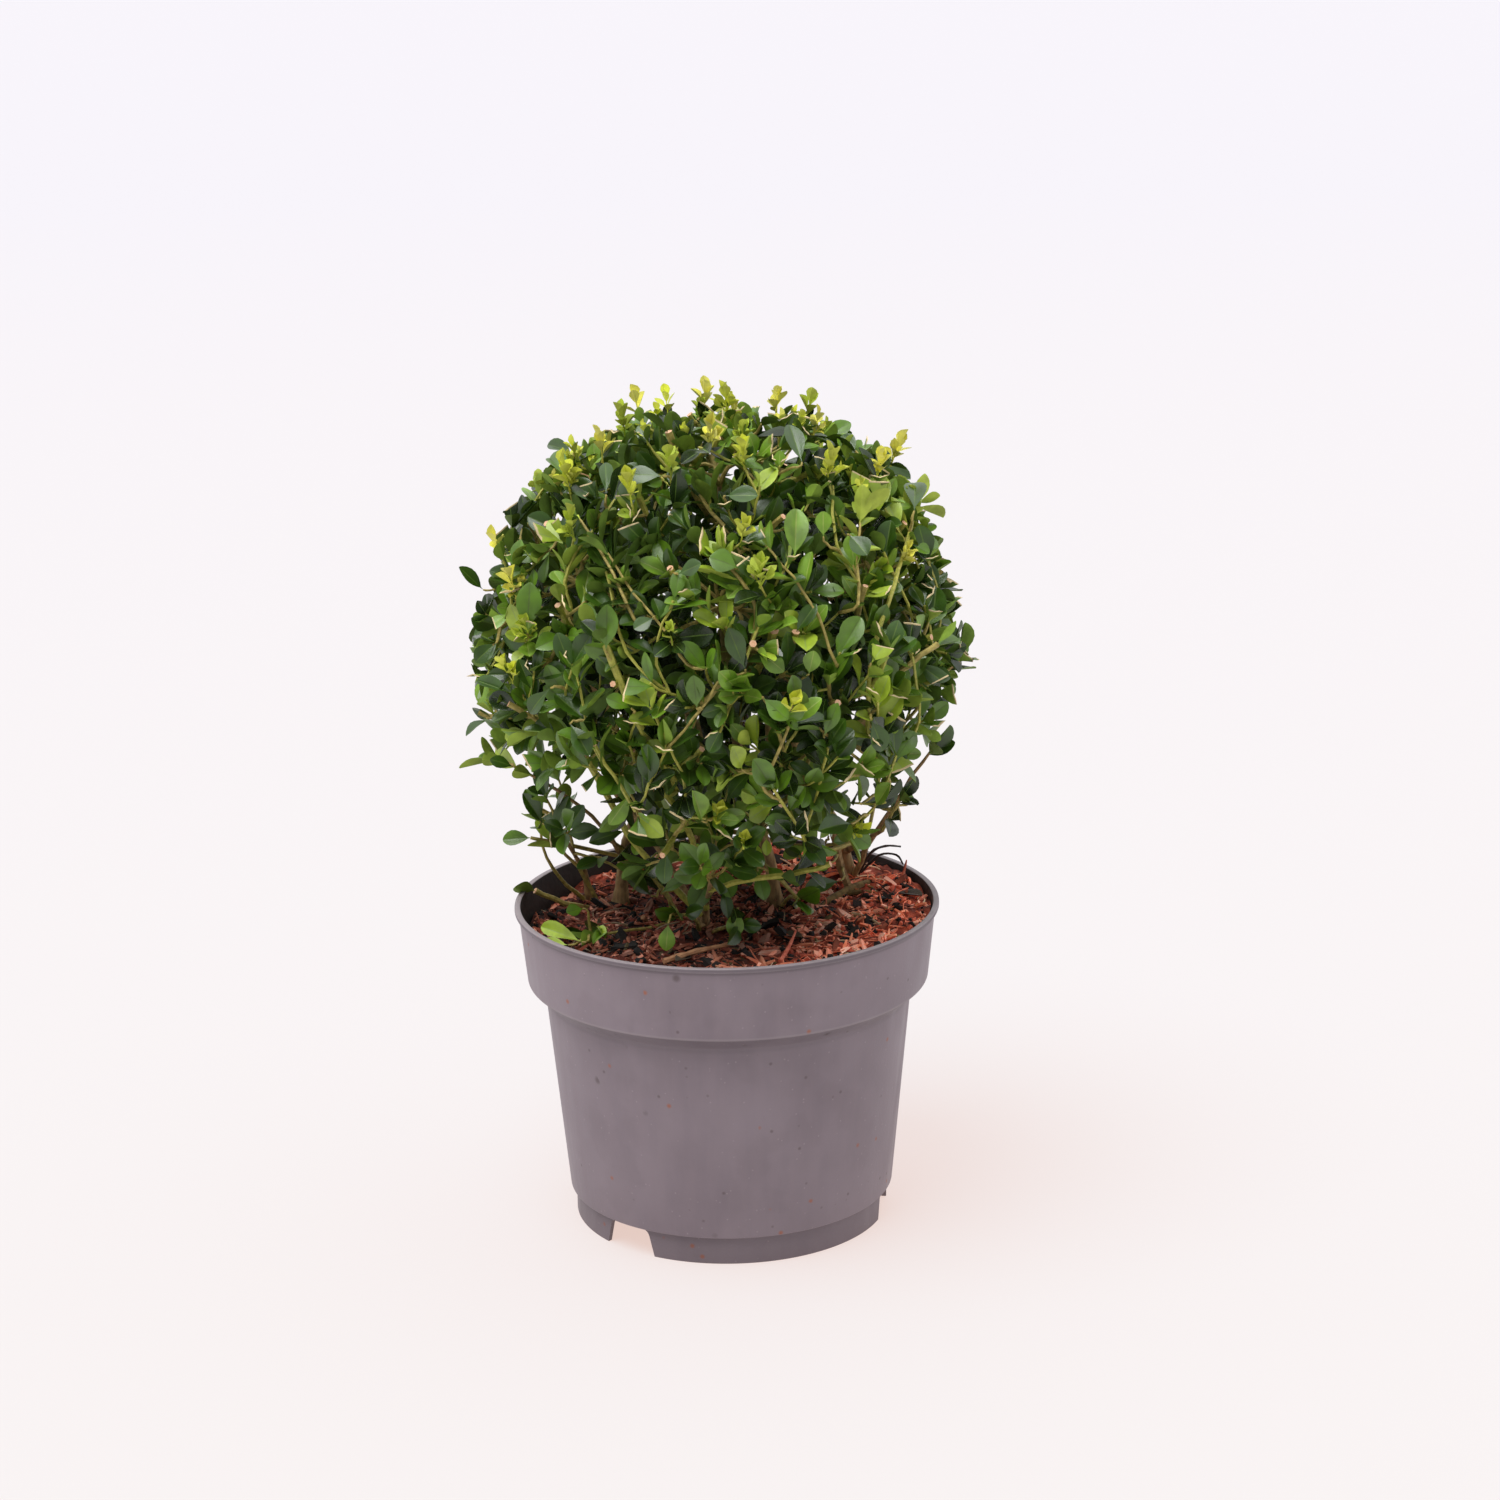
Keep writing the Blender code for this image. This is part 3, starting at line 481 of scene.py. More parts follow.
CORNER_STEPS = 4
POT_DARK = (124, 111, 119)
POT_BASE = (126, 113, 121)
POT_LIGHT = (138, 125, 133)
POT_STAIN = (104, 90, 97)
POT_STREAK = (168, 154, 157)
POT_STREAK_STRETCH = 0.16
# colour of worn edges, and of the painted highlight along them
POT_WORN_AND_HIGHLIGHT = (184, 172, 174)
POT_ROUGHNESS = (0.44, 0.62)
POT_SPECKS = (
    # cells per metre, share of them with a speck, its strength and colour: dust, dirt, crumbs, rust
    (620.0, 0.05, 0.25, (190, 178, 178)),
    (330.0, 0.03, 0.6, (84, 68, 68)),
    (140.0, 0.02, 0.6, (76, 60, 58)),
    (230.0, 0.014, 0.8, (158, 92, 64)),
)
# Heights in mm with the brightness there, which is painted shade, and with how far the edge is worn there,
# which is partly wear and partly painted highlight
POT_SHADE_BY_HEIGHT = ((0.0, 0.66), (12.0, 0.71), (13.5, 0.87), (102.0, 0.94), (106.0, 0.67), (111.0, 0.60),
             (112.6, 0.95), (141.6, 1.0), (142.7, 0.68), (145.0, 0.56), (145.6, 0.60))
POT_WEAR_AND_HIGHLIGHTS = ((0.0, 0.0), (12.4, 0.0), (12.9, 0.28), (13.6, 0.0), (111.0, 0.0), (111.7, 0.38),
            (112.5, 0.0), (142.9, 0.0), (143.5, 0.26), (144.3, 0.0), (145.2, 0.04), (145.6, 0.5))


def rounded(section, radii):
    """Round the corners of an open section, each by its own radius."""
    result = []
    for i, (corner, radius) in enumerate(zip(section, radii)):
        if radius == 0.0:
            result.append(corner)
            continue
        here = Vector(corner)
        before = here + (Vector(section[i - 1]) - here).normalized() * radius
        after = here + (Vector(section[(i + 1) % len(section)]) - here).normalized() * radius
        for k in range(CORNER_STEPS + 1):
            t = k / CORNER_STEPS
            result.append(tuple(before * (1 - t) ** 2 + here * 2 * t * (1 - t) + after * t * t))
    return result


def pot_section():
    """The wall as radius, height and corner radius, and how many of its points face outside."""
    outside = [
        (FOOT_RADIUS - FOOT_WALL, 0.0, 0.2),
        (FOOT_RADIUS, 0.0, 0.4),
        (FOOT_RADIUS, FOOT_LINE_Z - 0.5, 0.3),
        (BODY_FOOT_RADIUS, FOOT_LINE_Z + 0.5, 0.5),
        (BODY_TOP_RADIUS, BODY_TOP_Z, 1.5),
        (COLLAR_FOOT_RADIUS, COLLAR_FOOT_Z, 0.5),
        (COLLAR_TOP_RADIUS, POT_HEIGHT - LIP_HEIGHT, 0.35),
        (LIP_RADIUS, POT_HEIGHT - LIP_HEIGHT, 0.4),
        (LIP_RADIUS, POT_HEIGHT, 0.5),
        (LIP_RADIUS - LIP_WIDTH, POT_HEIGHT, 0.5),
    ]
    inside = [
        (COLLAR_FOOT_RADIUS - POT_WALL, COLLAR_FOOT_Z + WALL_SLOPE * POT_WALL, 0.8),
        (BODY_TOP_RADIUS - POT_WALL, BODY_TOP_Z + WALL_SLOPE * POT_WALL, 1.5),
        (BODY_FOOT_RADIUS - POT_WALL, FOOT_LINE_Z + FLOOR_THICK, 1.0),
    ]
    whole = outside + inside
    section = rounded([p[:2] for p in whole], [p[2] for p in whole])
    return section, len(outside) * (CORNER_STEPS + 1)


def cut_notch(pot, number, azimuth):
    """Cut one drain notch, narrower at its top, through the foot ring."""
    low, high = NOTCH_WIDTH_LOW / 2, NOTCH_WIDTH_HIGH / 2
    outline = rounded([(-low, -1.0), (low, -1.0), (high, NOTCH_HEIGHT), (-high, NOTCH_HEIGHT)],
                      [0.0, 0.0, NOTCH_CORNER, NOTCH_CORNER])
    turn = Matrix.Rotation(azimuth, 3, "Z")
    points = [turn @ Vector((radius, side, z))
              for radius in (FOOT_RADIUS - NOTCH_REACH[0], FOOT_RADIUS + NOTCH_REACH[1])
              for side, z in outline]
    cutter = new_piece(f"notch_cutter_{number}", points, tube_faces(2, len(outline)), [])
    face_outwards(cutter.data)
    cut = pot.modifiers.new("notch", "BOOLEAN")
    cut.operation = "DIFFERENCE"
    cut.object = cutter
    shape_modifiers(pot)
    bpy.data.objects.remove(cutter, do_unlink=True)


def shape_modifiers(piece):
    """Keep the mesh as its modifiers leave it, and drop them."""
    shaped = bpy.data.meshes.new_from_object(piece.evaluated_get(bpy.context.evaluated_depsgraph_get()))
    piece.modifiers.clear()
    piece.data = shaped


def height_ramp(tree, place, stops_by_height):
    """A value that depends on the height on the pot, from a short list of heights in mm."""
    node = new_node(tree, "ShaderNodeValToRGB",
                    Fac=ramp(tree, one_axis(tree, place, "Z"), 0.0, POT_HEIGHT * MM))
    stops = node.color_ramp.elements
    for number, (z, tone) in enumerate(stops_by_height):
        stop = stops[number] if number < 2 else stops.new(z / POT_HEIGHT)
        stop.position = z / POT_HEIGHT
        stop.color = (tone, tone, tone, 1.0)
    return node.outputs["Color"]


def pot_finish():
    """Mauve-grey plastic with stains, streaks, specks of soil, painted shade by height, and worn edges that
    are partly painted highlight.
    """
    material, tree, shader, place = open_finish("pot_mauve_grey_plastic", POT_BASE, 0.5)
    broad = add_group(tree, MOTTLE, place, Scale=22.0, Fine_Scale=900.0)
    smudges = add_group(tree, MOTTLE, place, Scale=31.0, Fine_Scale=170.0)
    streaks = add_group(tree, MOTTLE, stretched(tree, place, POT_STREAK_STRETCH),
                        Scale=150.0, Fine_Scale=500.0).outputs["Mask"]
    base = mix_colours(tree, broad.outputs["Mask"], linear(*POT_DARK), linear(*POT_LIGHT))
    base = tinted(tree, base, ramp(tree, smudges.outputs["Mask"], 0.70, 0.86), 0.12, POT_STAIN)
    base = tinted(tree, base, streaks, 0.14, POT_STREAK)
    for scale, share, amount, colour in POT_SPECKS:
        specks = add_group(tree, SPECKS, place, Scale=scale, Share=share)
        base = tinted(tree, base, specks.outputs["Mask"], amount, colour)
    # painted shade: darker towards the foot, under the collar and at the lip
    base = mix_colours(tree, height_ramp(tree, place, POT_SHADE_BY_HEIGHT), linear(0, 0, 0), base)
    # pale lines at the foot line, the collar's edge and the lip: partly wear, partly painted highlight
    base = mix_colours(tree, height_ramp(tree, place, POT_WEAR_AND_HIGHLIGHTS), base, linear(*POT_WORN_AND_HIGHLIGHT))
    feed(tree, shader.inputs["Base Color"], base)
    feed(tree, shader.inputs["Roughness"], ramp(tree, streaks, 0.0, 1.0, *POT_ROUGHNESS))
    add_bump(tree, shader, broad.outputs["Fine"], 0.35, 0.0002)
    return material


def make_pot():
    section, outside_count = pot_section()
    points, faces, finish = [], [], []
    for radius, z in section:
        points += level_ring(radius, z, POT_SIDES)
    for k in range(len(section) - 1):
        faces += ring_faces(k * POT_SIDES, (k + 1) * POT_SIDES, POT_SIDES)
        finish += [0 if k < outside_count - 2 else 1] * POT_SIDES
    last = (len(section) - 1) * POT_SIDES
    faces.append(tuple(range(last, last + POT_SIDES)))
    finish.append(1)
    under = len(points)
    points += level_ring(FOOT_RADIUS - FOOT_WALL, FOOT_LINE_Z, POT_SIDES)
    faces += ring_faces(0, under, POT_SIDES)
    faces.append(tuple(range(under, under + POT_SIDES)))
    finish += [1] * (POT_SIDES + 1)
    inside = mottled_finish("pot_black_inside", (20, 18, 18), (38, 34, 33), 60.0, 500.0, 0.6)
    pot = new_piece("nursery_pot", points, faces, [pot_finish(), inside], finish)
    face_outwards(pot.data)
    for number, azimuth in enumerate(NOTCH_AZIMUTHS):
        cut_notch(pot, number, math.radians(azimuth))
    pot.data.set_sharp_from_angle(angle=POT_SHARP_ANGLE)
    stand_for(pot, "pot_plastic", "pot")
    return pot


pot = make_pot()
print("pot:", triangles_in(pot), "triangles")

# %% [markdown]
# The compost is a loose mix of red-brown wood fibre, coir and dark crumbs. Its surface dips at the
# left and comes close to the rim at the right. It could be sculpted. A disc of fine rings, raised
# and lowered by noise, keeps the level of the solid. What lies on it is scattered afterwards.

# %% Soil surface
SOIL_SIDES = 150
SOIL_LEVEL = 138.5
SOIL_RISE_TO_RIGHT = 3.0
SOIL_DIP = 5.5
SOIL_DIP_PLACE = (-72.0, 22.0)
SOIL_DIP_SPREAD = 30.0
SOIL_BUMP = 0.7
SOIL_RING_STEP = 1.3
SOIL_GAP = 0.5
CLOD_SCALE = 0.07
CLOD_HEIGHT = 2.8
GRAIN_HEIGHT = 0.9
SOIL_DARK = (58, 23, 15)
SOIL_LIGHT = (184, 82, 56)
# how dark the painted shade of the crown makes the compost
SOIL_SHADE_DEPTH = 0.78


def soil_height(x, y):
    """The level of the compost, as the solid has it."""
    dip_x, dip_y = SOIL_DIP_PLACE
    away = ((x - dip_x) ** 2 + (y - dip_y) ** 2) / (2 * SOIL_DIP_SPREAD ** 2)
    slope = SOIL_RISE_TO_RIGHT * (x + 0.5 * y) / LIP_RADIUS
    bumps = SOIL_BUMP * (math.sin(0.13 * x + 0.8) * math.cos(0.11 * y) + 0.6 * math.sin(0.23 * y + 0.1 * x))
    return SOIL_LEVEL + slope - SOIL_DIP * math.exp(-away) + bumps


def crumbly_height(x, y):
    """The same level with clods and hollows."""
    place = Vector((x * CLOD_SCALE, y * CLOD_SCALE, 3.0))
    clods = noise.fractal(place, 0.6, 2.1, 5)
    return soil_height(x, y) + CLOD_HEIGHT * clods + GRAIN_HEIGHT * noise.noise(place * 7.0)


def collar_inside_radius(z):
    low_z = COLLAR_FOOT_Z + WALL_SLOPE * POT_WALL
    low = COLLAR_FOOT_RADIUS - POT_WALL
    high = LIP_RADIUS - LIP_WIDTH
    return low + (high - low) * (z - low_z) / (POT_HEIGHT - low_z)


def make_soil():
    points, faces = [(0.0, 0.0, crumbly_height(0.0, 0.0))], []
    rings = round(collar_inside_radius(SOIL_LEVEL) / SOIL_RING_STEP)
    for k in range(1, rings + 1):
        for i in range(SOIL_SIDES):
            turn = math.tau * i / SOIL_SIDES
            edge = turned_point(COLLAR_FOOT_RADIUS, 0.0, turn)
            radius = (collar_inside_radius(soil_height(edge[0], edge[1])) - SOIL_GAP) * k / rings
            x, y, _ = turned_point(radius, 0.0, turn)
            points.append((x, y, crumbly_height(x, y)))
    faces += [(0, 1 + i, 1 + (i + 1) % SOIL_SIDES) for i in range(SOIL_SIDES)]
    for k in range(rings - 1):
        faces += ring_faces(1 + k * SOIL_SIDES, 1 + (k + 1) * SOIL_SIDES, SOIL_SIDES)
    # Below the surface the compost follows the wall down to the pot's floor
    edge_ring = 1 + (rings - 1) * SOIL_SIDES
    for radius, z in ((COLLAR_FOOT_RADIUS - POT_WALL - SOIL_GAP, COLLAR_FOOT_Z + POT_WALL),
                      (BODY_TOP_RADIUS - POT_WALL - SOIL_GAP, BODY_TOP_Z + POT_WALL),
                      (BODY_FOOT_RADIUS - POT_WALL - SOIL_GAP, FOOT_LINE_Z + FLOOR_THICK + SOIL_GAP)):
        next_ring = len(points)
        points += level_ring(radius, z, SOIL_SIDES)
        faces += ring_faces(edge_ring, next_ring, SOIL_SIDES)
        edge_ring = next_ring
    faces.append(tuple(range(edge_ring, edge_ring + SOIL_SIDES)))
    # the compost gets the painted shade of the crown round the stems
    finish = mottled_finish("compost", SOIL_DARK, SOIL_LIGHT, 130.0, 700.0, 0.92, 0.0012, shade_depth=SOIL_SHADE_DEPTH)
    soil = new_piece("compost", points, faces, [finish])
    face_outwards(soil.data)
    stand_for(soil, "soil", "soil")
    return soil


soil = make_soil()
print("compost:", triangles_in(soil), "triangles")

# %% [markdown]
# Fibres, chips and crumbs lie on the compost by the hundred. A loop could place them. Geometry
# Nodes do it with one small tree for all kinds: it scatters points on the surface, puts a copy of a
# sample on each, turned and sized by chance from a fixed seed, and makes them real.

# %% Scatter tree
SCATTER_INPUTS = (("Ground", "Geometry"), ("Density", "Float"), ("Seed", "Int"), ("Smallest", "Float"),
                  ("Largest", "Float"), ("Lean", "Float"), ("Sample", "Object"), ("Finish", "Material"))
SCATTER_SHARP_ANGLE = math.radians(45)


def scatter_tree():
    """Samples at chance places on a ground, leaning by up to so much and turned any way."""
    tree = bpy.data.node_groups.new("scatter_on_ground", "GeometryNodeTree")
    for label, kind in SCATTER_INPUTS:
        tree.interface.new_socket(label, in_out="INPUT", socket_type="NodeSocket" + kind)
    tree.interface.new_socket("Scattered", in_out="OUTPUT", socket_type="NodeSocketGeometry")
    start = tree.nodes.new("NodeGroupInput").outputs
    lean, seed = start["Lean"], start["Seed"]
    points = new_node(tree, "GeometryNodeDistributePointsOnFaces", Mesh=start["Ground"],
                      Density=start["Density"], Seed=seed)
    sample = new_node(tree, "GeometryNodeObjectInfo", Object=start["Sample"])
    back = reckon(tree, "MULTIPLY", lean, -1.0)
    low = new_node(tree, "ShaderNodeCombineXYZ", X=back, Y=back)
    high = new_node(tree, "ShaderNodeCombineXYZ", X=lean, Y=lean, Z=math.tau)
    # A chance value has its ends under the same names for each kind, so they are fed by number
    turn = new_node(tree, "FunctionNodeRandomValue", Seed=seed)
    turn.data_type = "FLOAT_VECTOR"
    feed(tree, turn.inputs[0], low.outputs["Vector"])
    feed(tree, turn.inputs[1], high.outputs["Vector"])
    size = new_node(tree, "FunctionNodeRandomValue", Seed=seed)
    feed(tree, size.inputs[2], start["Smallest"])
    feed(tree, size.inputs[3], start["Largest"])
    copies = new_node(tree, "GeometryNodeInstanceOnPoints", Points=points.outputs["Points"],
                      Instance=sample.outputs["Geometry"], Rotation=turn.outputs[0], Scale=size.outputs[1])
    real = new_node(tree, "GeometryNodeRealizeInstances", Geometry=copies.outputs["Instances"])
    finish = new_node(tree, "GeometryNodeSetMaterial", Geometry=real.outputs["Geometry"],
                      Material=start["Finish"])
    new_node(tree, "NodeGroupOutput", Scattered=finish.outputs["Geometry"])
    return tree


SCATTER = scatter_tree()


def scatter(name, ground, sample, **values):
    """Run the scatter tree on a ground and return the result as a plain mesh piece."""
    piece = bpy.data.objects.new(name, ground.copy())
    bpy.context.scene.collection.objects.link(piece)
    spread = piece.modifiers.new("scatter", "NODES")
    spread.node_group = SCATTER
    values["Sample"] = sample
    for socket in SCATTER.interface.items_tree:
        if socket.name in values:
            spread[socket.identifier] = values[socket.name]
    shape_modifiers(piece)
    piece.data.name = name
    piece.data.shade_smooth()
    piece.data.set_sharp_from_angle(angle=SCATTER_SHARP_ANGLE)
    return piece


print("scatter tree:", [socket.name for socket in SCATTER.interface.items_tree])

# %% [markdown]
# Four samples are enough for the litter: a thin curved fibre, a thicker shred, a flat splinter of
# wood and a rough crumb. Each is a closed mesh of a few dozen faces. They are made at the origin,
# sized in real millimetres, and removed once the scattering is done. Eleven kinds of litter come
# from them, which differ in size, number and colour.

# %% Litter on the compost
def tube(centres, radii, sides):
    """Points and faces of a closed tube through these centres."""
    points = []
    across = None
    for i, centre in enumerate(centres):
        before = centres[max(i - 1, 0)]
        after = centres[min(i + 1, len(centres) - 1)]
        along = (after - before).normalized()
        across = along.orthogonal().normalized() if across is None else across
        across = square_to(across, along)
        up = along.cross(across)
        for k in range(sides):
            turn = math.tau * k / sides
            points.append(centre + (across * math.cos(turn) + up * math.sin(turn)) * radii[i])
    return points, tube_faces(len(centres), sides)


def fibre_sample(length, thick, bend):
    """A strand that arches a little off the ground."""
    centres, radii = [], []
    for k in range(7):
        t = k / 6
        rise = math.sin(math.pi * t) * bend
        centres.append(Vector((length * (t - 0.5), bend * math.sin(4.0 * t), 0.35 + rise * 0.5)))
        radii.append(thick * (0.35 + 0.65 * math.sin(math.pi * (0.12 + 0.8 * k / 6))))
    return new_piece("fibre_sample", *tube(centres, radii, 4), [])


def splinter_sample():
    """A flat chip of wood with slanted ends."""
    outline = ((-3.2, -0.7), (-1.0, -1.2), (2.0, -1.0), (3.6, 0.1), (1.6, 1.1), (-2.2, 1.0))
    points = [(x, y, 0.1) for x, y in outline] + [(x * 0.92, y * 0.8, 0.95 + 0.1 * x) for x, y in outline]
    return new_piece("splinter_sample", points, tube_faces(2, len(outline)), [])


def crumb_sample():
    """A rough lump."""
    work = bmesh.new()
    bmesh.ops.create_icosphere(work, subdivisions=2, radius=1.0)
    points = []
    for corner in work.verts:
        lump = 1.0 + 0.45 * noise.noise(corner.co * 1.7) + 0.2 * noise.noise(corner.co * 4.0)
        points.append(Vector((corner.co.x, corner.co.y * 0.85, corner.co.z * 0.7)) * lump)
    faces = [tuple(corner.index for corner in face.verts) for face in work.faces]
    work.free()
    return new_piece("crumb_sample", points, faces, [])


def soil_top(margin):
    """The compost's upper surface as a mesh of its own, kept this far from the wall."""
    work = bmesh.new()
    work.from_mesh(soil.data)
    limit = (LIP_RADIUS - LIP_WIDTH - margin) * MM
    away = [face for face in work.faces
            if face.normal.z < 0.1 or face.calc_center_median().xy.length > limit]
    bmesh.ops.delete(work, geom=away, context="FACES")
    mesh = bpy.data.meshes.new("soil_top")
    work.to_mesh(mesh)
    work.free()
    return mesh


# how dark the painted shade of the crown makes the litter; the salmon splinters take less of it and stay
# bright
LITTER_SHADE_DEPTH = 0.76
SALMON_SHADE_DEPTH = 0.5
LITTER = (
    # name, sample, pieces per square metre, smallest, largest, lean, finish colours
    ("crumbs_black", "crumb", 14000, 0.7, 2.6, 3.0, ((18, 12, 10), (38, 25, 19))),
    ("crumbs_rust", "crumb", 22000, 0.6, 2.2, 3.0, ((172, 70, 48), (228, 118, 90))),
    ("bark_chunks", "splinter", 2000, 1.2, 2.4, 0.7, ((18, 13, 11), (44, 30, 24))),
    ("chips_pink", "splinter", 4200, 0.8, 1.8, 0.9, ((232, 142, 116), (252, 200, 176))),
    ("splinters_salmon", "splinter", 20000, 0.4, 1.2, 0.9, ((238, 132, 100), (254, 192, 166))),
    ("splinters_brown", "splinter", 5000, 0.4, 1.4, 0.8, ((92, 42, 28), (146, 74, 50))),
    ("splinters_olive", "splinter", 2400, 0.4, 1.1, 0.7, ((112, 92, 54), (150, 130, 84))),
    ("shreds_orange", "shred", 13500, 0.4, 1.5, 0.8, ((226, 104, 68), (250, 166, 128))),
    ("fibres_straw", "fibre", 4000, 0.5, 1.5, 0.6, ((214, 176, 138), (240, 212, 176))),
    ("fibres_rust", "fibre", 26000, 0.4, 1.4, 0.65, ((204, 90, 60), (244, 148, 112))),
    ("fibres_dark", "fibre", 12000, 0.4, 1.3, 0.5, ((34, 20, 14), (66, 38, 26))),
)
WALL_CLEARANCE = 0.4
GROUND_MARGIN = 2.0


def drop_outside(piece, points_each):
    """Take away the copies that would reach into the pot's wall."""
    places = np.empty(len(piece.data.vertices) * 3)
    piece.data.vertices.foreach_get("co", places)
    places = places.reshape(-1, points_each, 3) / MM
    reach = np.hypot(places[..., 0], places[..., 1]) - collar_inside_radius(places[..., 2])
    outside = np.repeat(reach.max(axis=1) > -WALL_CLEARANCE, points_each)
    work = bmesh.new()
    work.from_mesh(piece.data)
    away = [corner for corner, is_outside in zip(work.verts, outside) if is_outside]
    bmesh.ops.delete(work, geom=away, context="VERTS")
    work.to_mesh(piece.data)
    work.free()


def make_litter():
    samples = {"fibre": fibre_sample(11.0, 0.3, 1.3), "shred": fibre_sample(8.0, 0.75, 0.7),
               "splinter": splinter_sample(), "crumb": crumb_sample()}
    ground = soil_top(GROUND_MARGIN)
    total = 0
    for number, (name, kind, density, smallest, largest, lean, colours) in enumerate(LITTER):
        # each kind of litter gets the painted shade of the crown round the stems
        finish = mottled_finish(name, *colours, 160.0, 900.0, 0.85,
                                shade_depth=SALMON_SHADE_DEPTH if name == "splinters_salmon" else LITTER_SHADE_DEPTH)
        piece = scatter(name, ground, samples[kind], Density=float(density), Seed=number + 3,
                        Smallest=smallest, Largest=largest, Lean=lean, Finish=finish)
        drop_outside(piece, len(samples[kind].data.vertices))
        stand_for(piece, "soil")
        total += triangles_in(piece)
    for sample in samples.values():
        bpy.data.objects.remove(sample, do_unlink=True)
    bpy.data.meshes.remove(ground)
    return total


print("litter:", make_litter(), "triangles")

# %% [markdown]
# The plant follows the rule of the solids, written again here, so that the wood stands where they
# have it. Every mass of foliage has a site, and keeps to what lies nearest to it. Each stem or
# bough is a smooth curve from its foot to the place where it enters its mass. These few numbers fix
# the whole skeleton.

# %% Sites, stems and boughs
CROWN_CENTRE = Vector((0.0, 0.0, 262.0))
CROWN_RADIUS = 111.5
TOP_EXTRA = 2.0
LOW_EXTRA = 7.0
BUMP = 2.0
HEART_RADIUS = 50.0
HUB_RADIUS = 72.0
UNDERSIDE_Z = 153.0
STRAY_NARROWS = 2.0
GOLDEN_ANGLE = math.radians(137.5)

CROWN_MASSES = (
    ("top", 0.0, 90.0),
    ("upper_front", -90.0, 28.0),
    ("upper_right", -18.0, 28.0),
    ("upper_back_right", 54.0, 28.0),
    ("upper_back_left", 126.0, 28.0),
    ("upper_left", 198.0, 28.0),
    ("lower_front_left", -126.0, -20.0),
    ("lower_front_right", -54.0, -20.0),
    ("lower_right", 18.0, -20.0),
    ("lower_back", 90.0, -20.0),
    ("lower_left", 162.0, -20.0),
)
LOW_MASSES = (
    ("low_left", (-72.0, 4.0, 174.0)),
    ("low_front", (-6.0, -58.0, 174.0)),
    ("low_right", (70.0, 2.0, 176.0)),
    ("low_back", (-2.0, 72.0, 176.0)),
)
STRAYS = (
    (-115.0, -4.0, 229.0),
    (114.6, -6.0, 256.0),
    (2.0, -113.5, 262.0),
    (-6.0, 113.5, 250.0),
    (8.0, -4.0, 377.0),
    (-34.0, 12.0, 374.0),
    (48.0, 14.0, 371.0),
    (-88.0, -8.0, 190.0),
    (86.0, -20.0, 190.0),
)
STEMS = (
    ("stem_left", ((-49, 31), (-45, 26, 165), (-33, 16, 196), (-27, 7, 232)), "upper_left"),
    ("stem_back", ((-13, 47), (-13, 42, 166), (-14, 32, 200), (-17, 26, 240)), "upper_back_left"),
    ("stem_front", ((22, 11), (19, 6, 163), (10, 1, 198), (3, -3, 240)), "top"),
    ("stem_right", ((56, 48), (51, 40, 165), (37, 24, 195), (29, 9, 230)), "upper_right"),
    ("stem_low_left", ((-63, 38), (-65, 30, 150)), "low_left"),
    ("stem_low_front", ((-10, -18), (-9, -27, 152)), "low_front"),
)
BOUGHS = (
    ("lower_left", "stem_left", 203.0),
    ("lower_back", "stem_back", 196.0),
    ("lower_front_left", "stem_front", 189.0),
    ("lower_front_right", "stem_front", 177.0),
    ("upper_front", "stem_front", 226.0),
    ("lower_right", "stem_right", 199.0),
    ("upper_back_right", "stem_right", 226.0),
    ("low_right", "stem_right", 153.0),
    ("low_back", "stem_back", 154.0),
)
STEM_FOOT_RADIUS = 2.9
STEM_TIP_RADIUS = 1.5
LOW_STEM_SHARE = 0.62
BOUGH_FOOT_RADIUS = 1.9
BOUGH_TIP_RADIUS = 1.3
BOUGH_CURVE = 0.35
LOW_LIMB_REACH = 0.45  # how far a limb runs into a low mass, as a share of the way
STRAIGHT_TIP = 9.0
STEM_STEPS = 8
BOUGH_STEPS = 24


def mass_direction(azimuth, elevation):
    turn, rise = math.radians(azimuth), math.radians(elevation)
    return Vector((math.cos(rise) * math.cos(turn), math.cos(rise) * math.sin(turn), math.sin(rise)))


SITES = {name: CROWN_CENTRE + mass_direction(a, e) * HUB_RADIUS for name, a, e in CROWN_MASSES}
SITES.update((name, Vector(place)) for name, place in LOW_MASSES)


def is_low(mass):
    return mass.startswith("low_")


def bezier(a, b, c, d, t):
    s = 1.0 - t
    return a * s ** 3 + b * (3 * s * s * t) + c * (3 * s * t * t) + d * t ** 3


def smooth_path(points, steps):
    """A smooth curve through the points, with this many steps between each two."""
    path = []
    last = len(points) - 1
    for i in range(last):
        lean_out = (points[i + 1] - points[max(i - 1, 0)]) / 6
        lean_in = (points[min(i + 2, last)] - points[i]) / 6
        for k in range(steps):
            start, end = points[i] + lean_out, points[i + 1] - lean_in
            path.append(bezier(points[i], start, end, points[i + 1], k / steps))
    path.append(points[-1])
    return path


def path_length(path):
    return sum((b - a).length for a, b in zip(path, path[1:]))


def place_at(path, distance):
    """The point that lies this far along a path."""
    for a, b in zip(path, path[1:]):
        step = (b - a).length
        if distance <= step:
            return a.lerp(b, distance / step)
        distance -= step
    return path[-1]


def tip_for(mass, start):
    """Where the limb that carries a mass ends, and the way that it points there."""
    if is_low(mass):
        return start.lerp(SITES[mass], LOW_LIMB_REACH), (SITES[mass] - start).normalized()
    outward = (SITES[mass] - CROWN_CENTRE).normalized()
    return CROWN_CENTRE + outward * HEART_RADIUS, outward


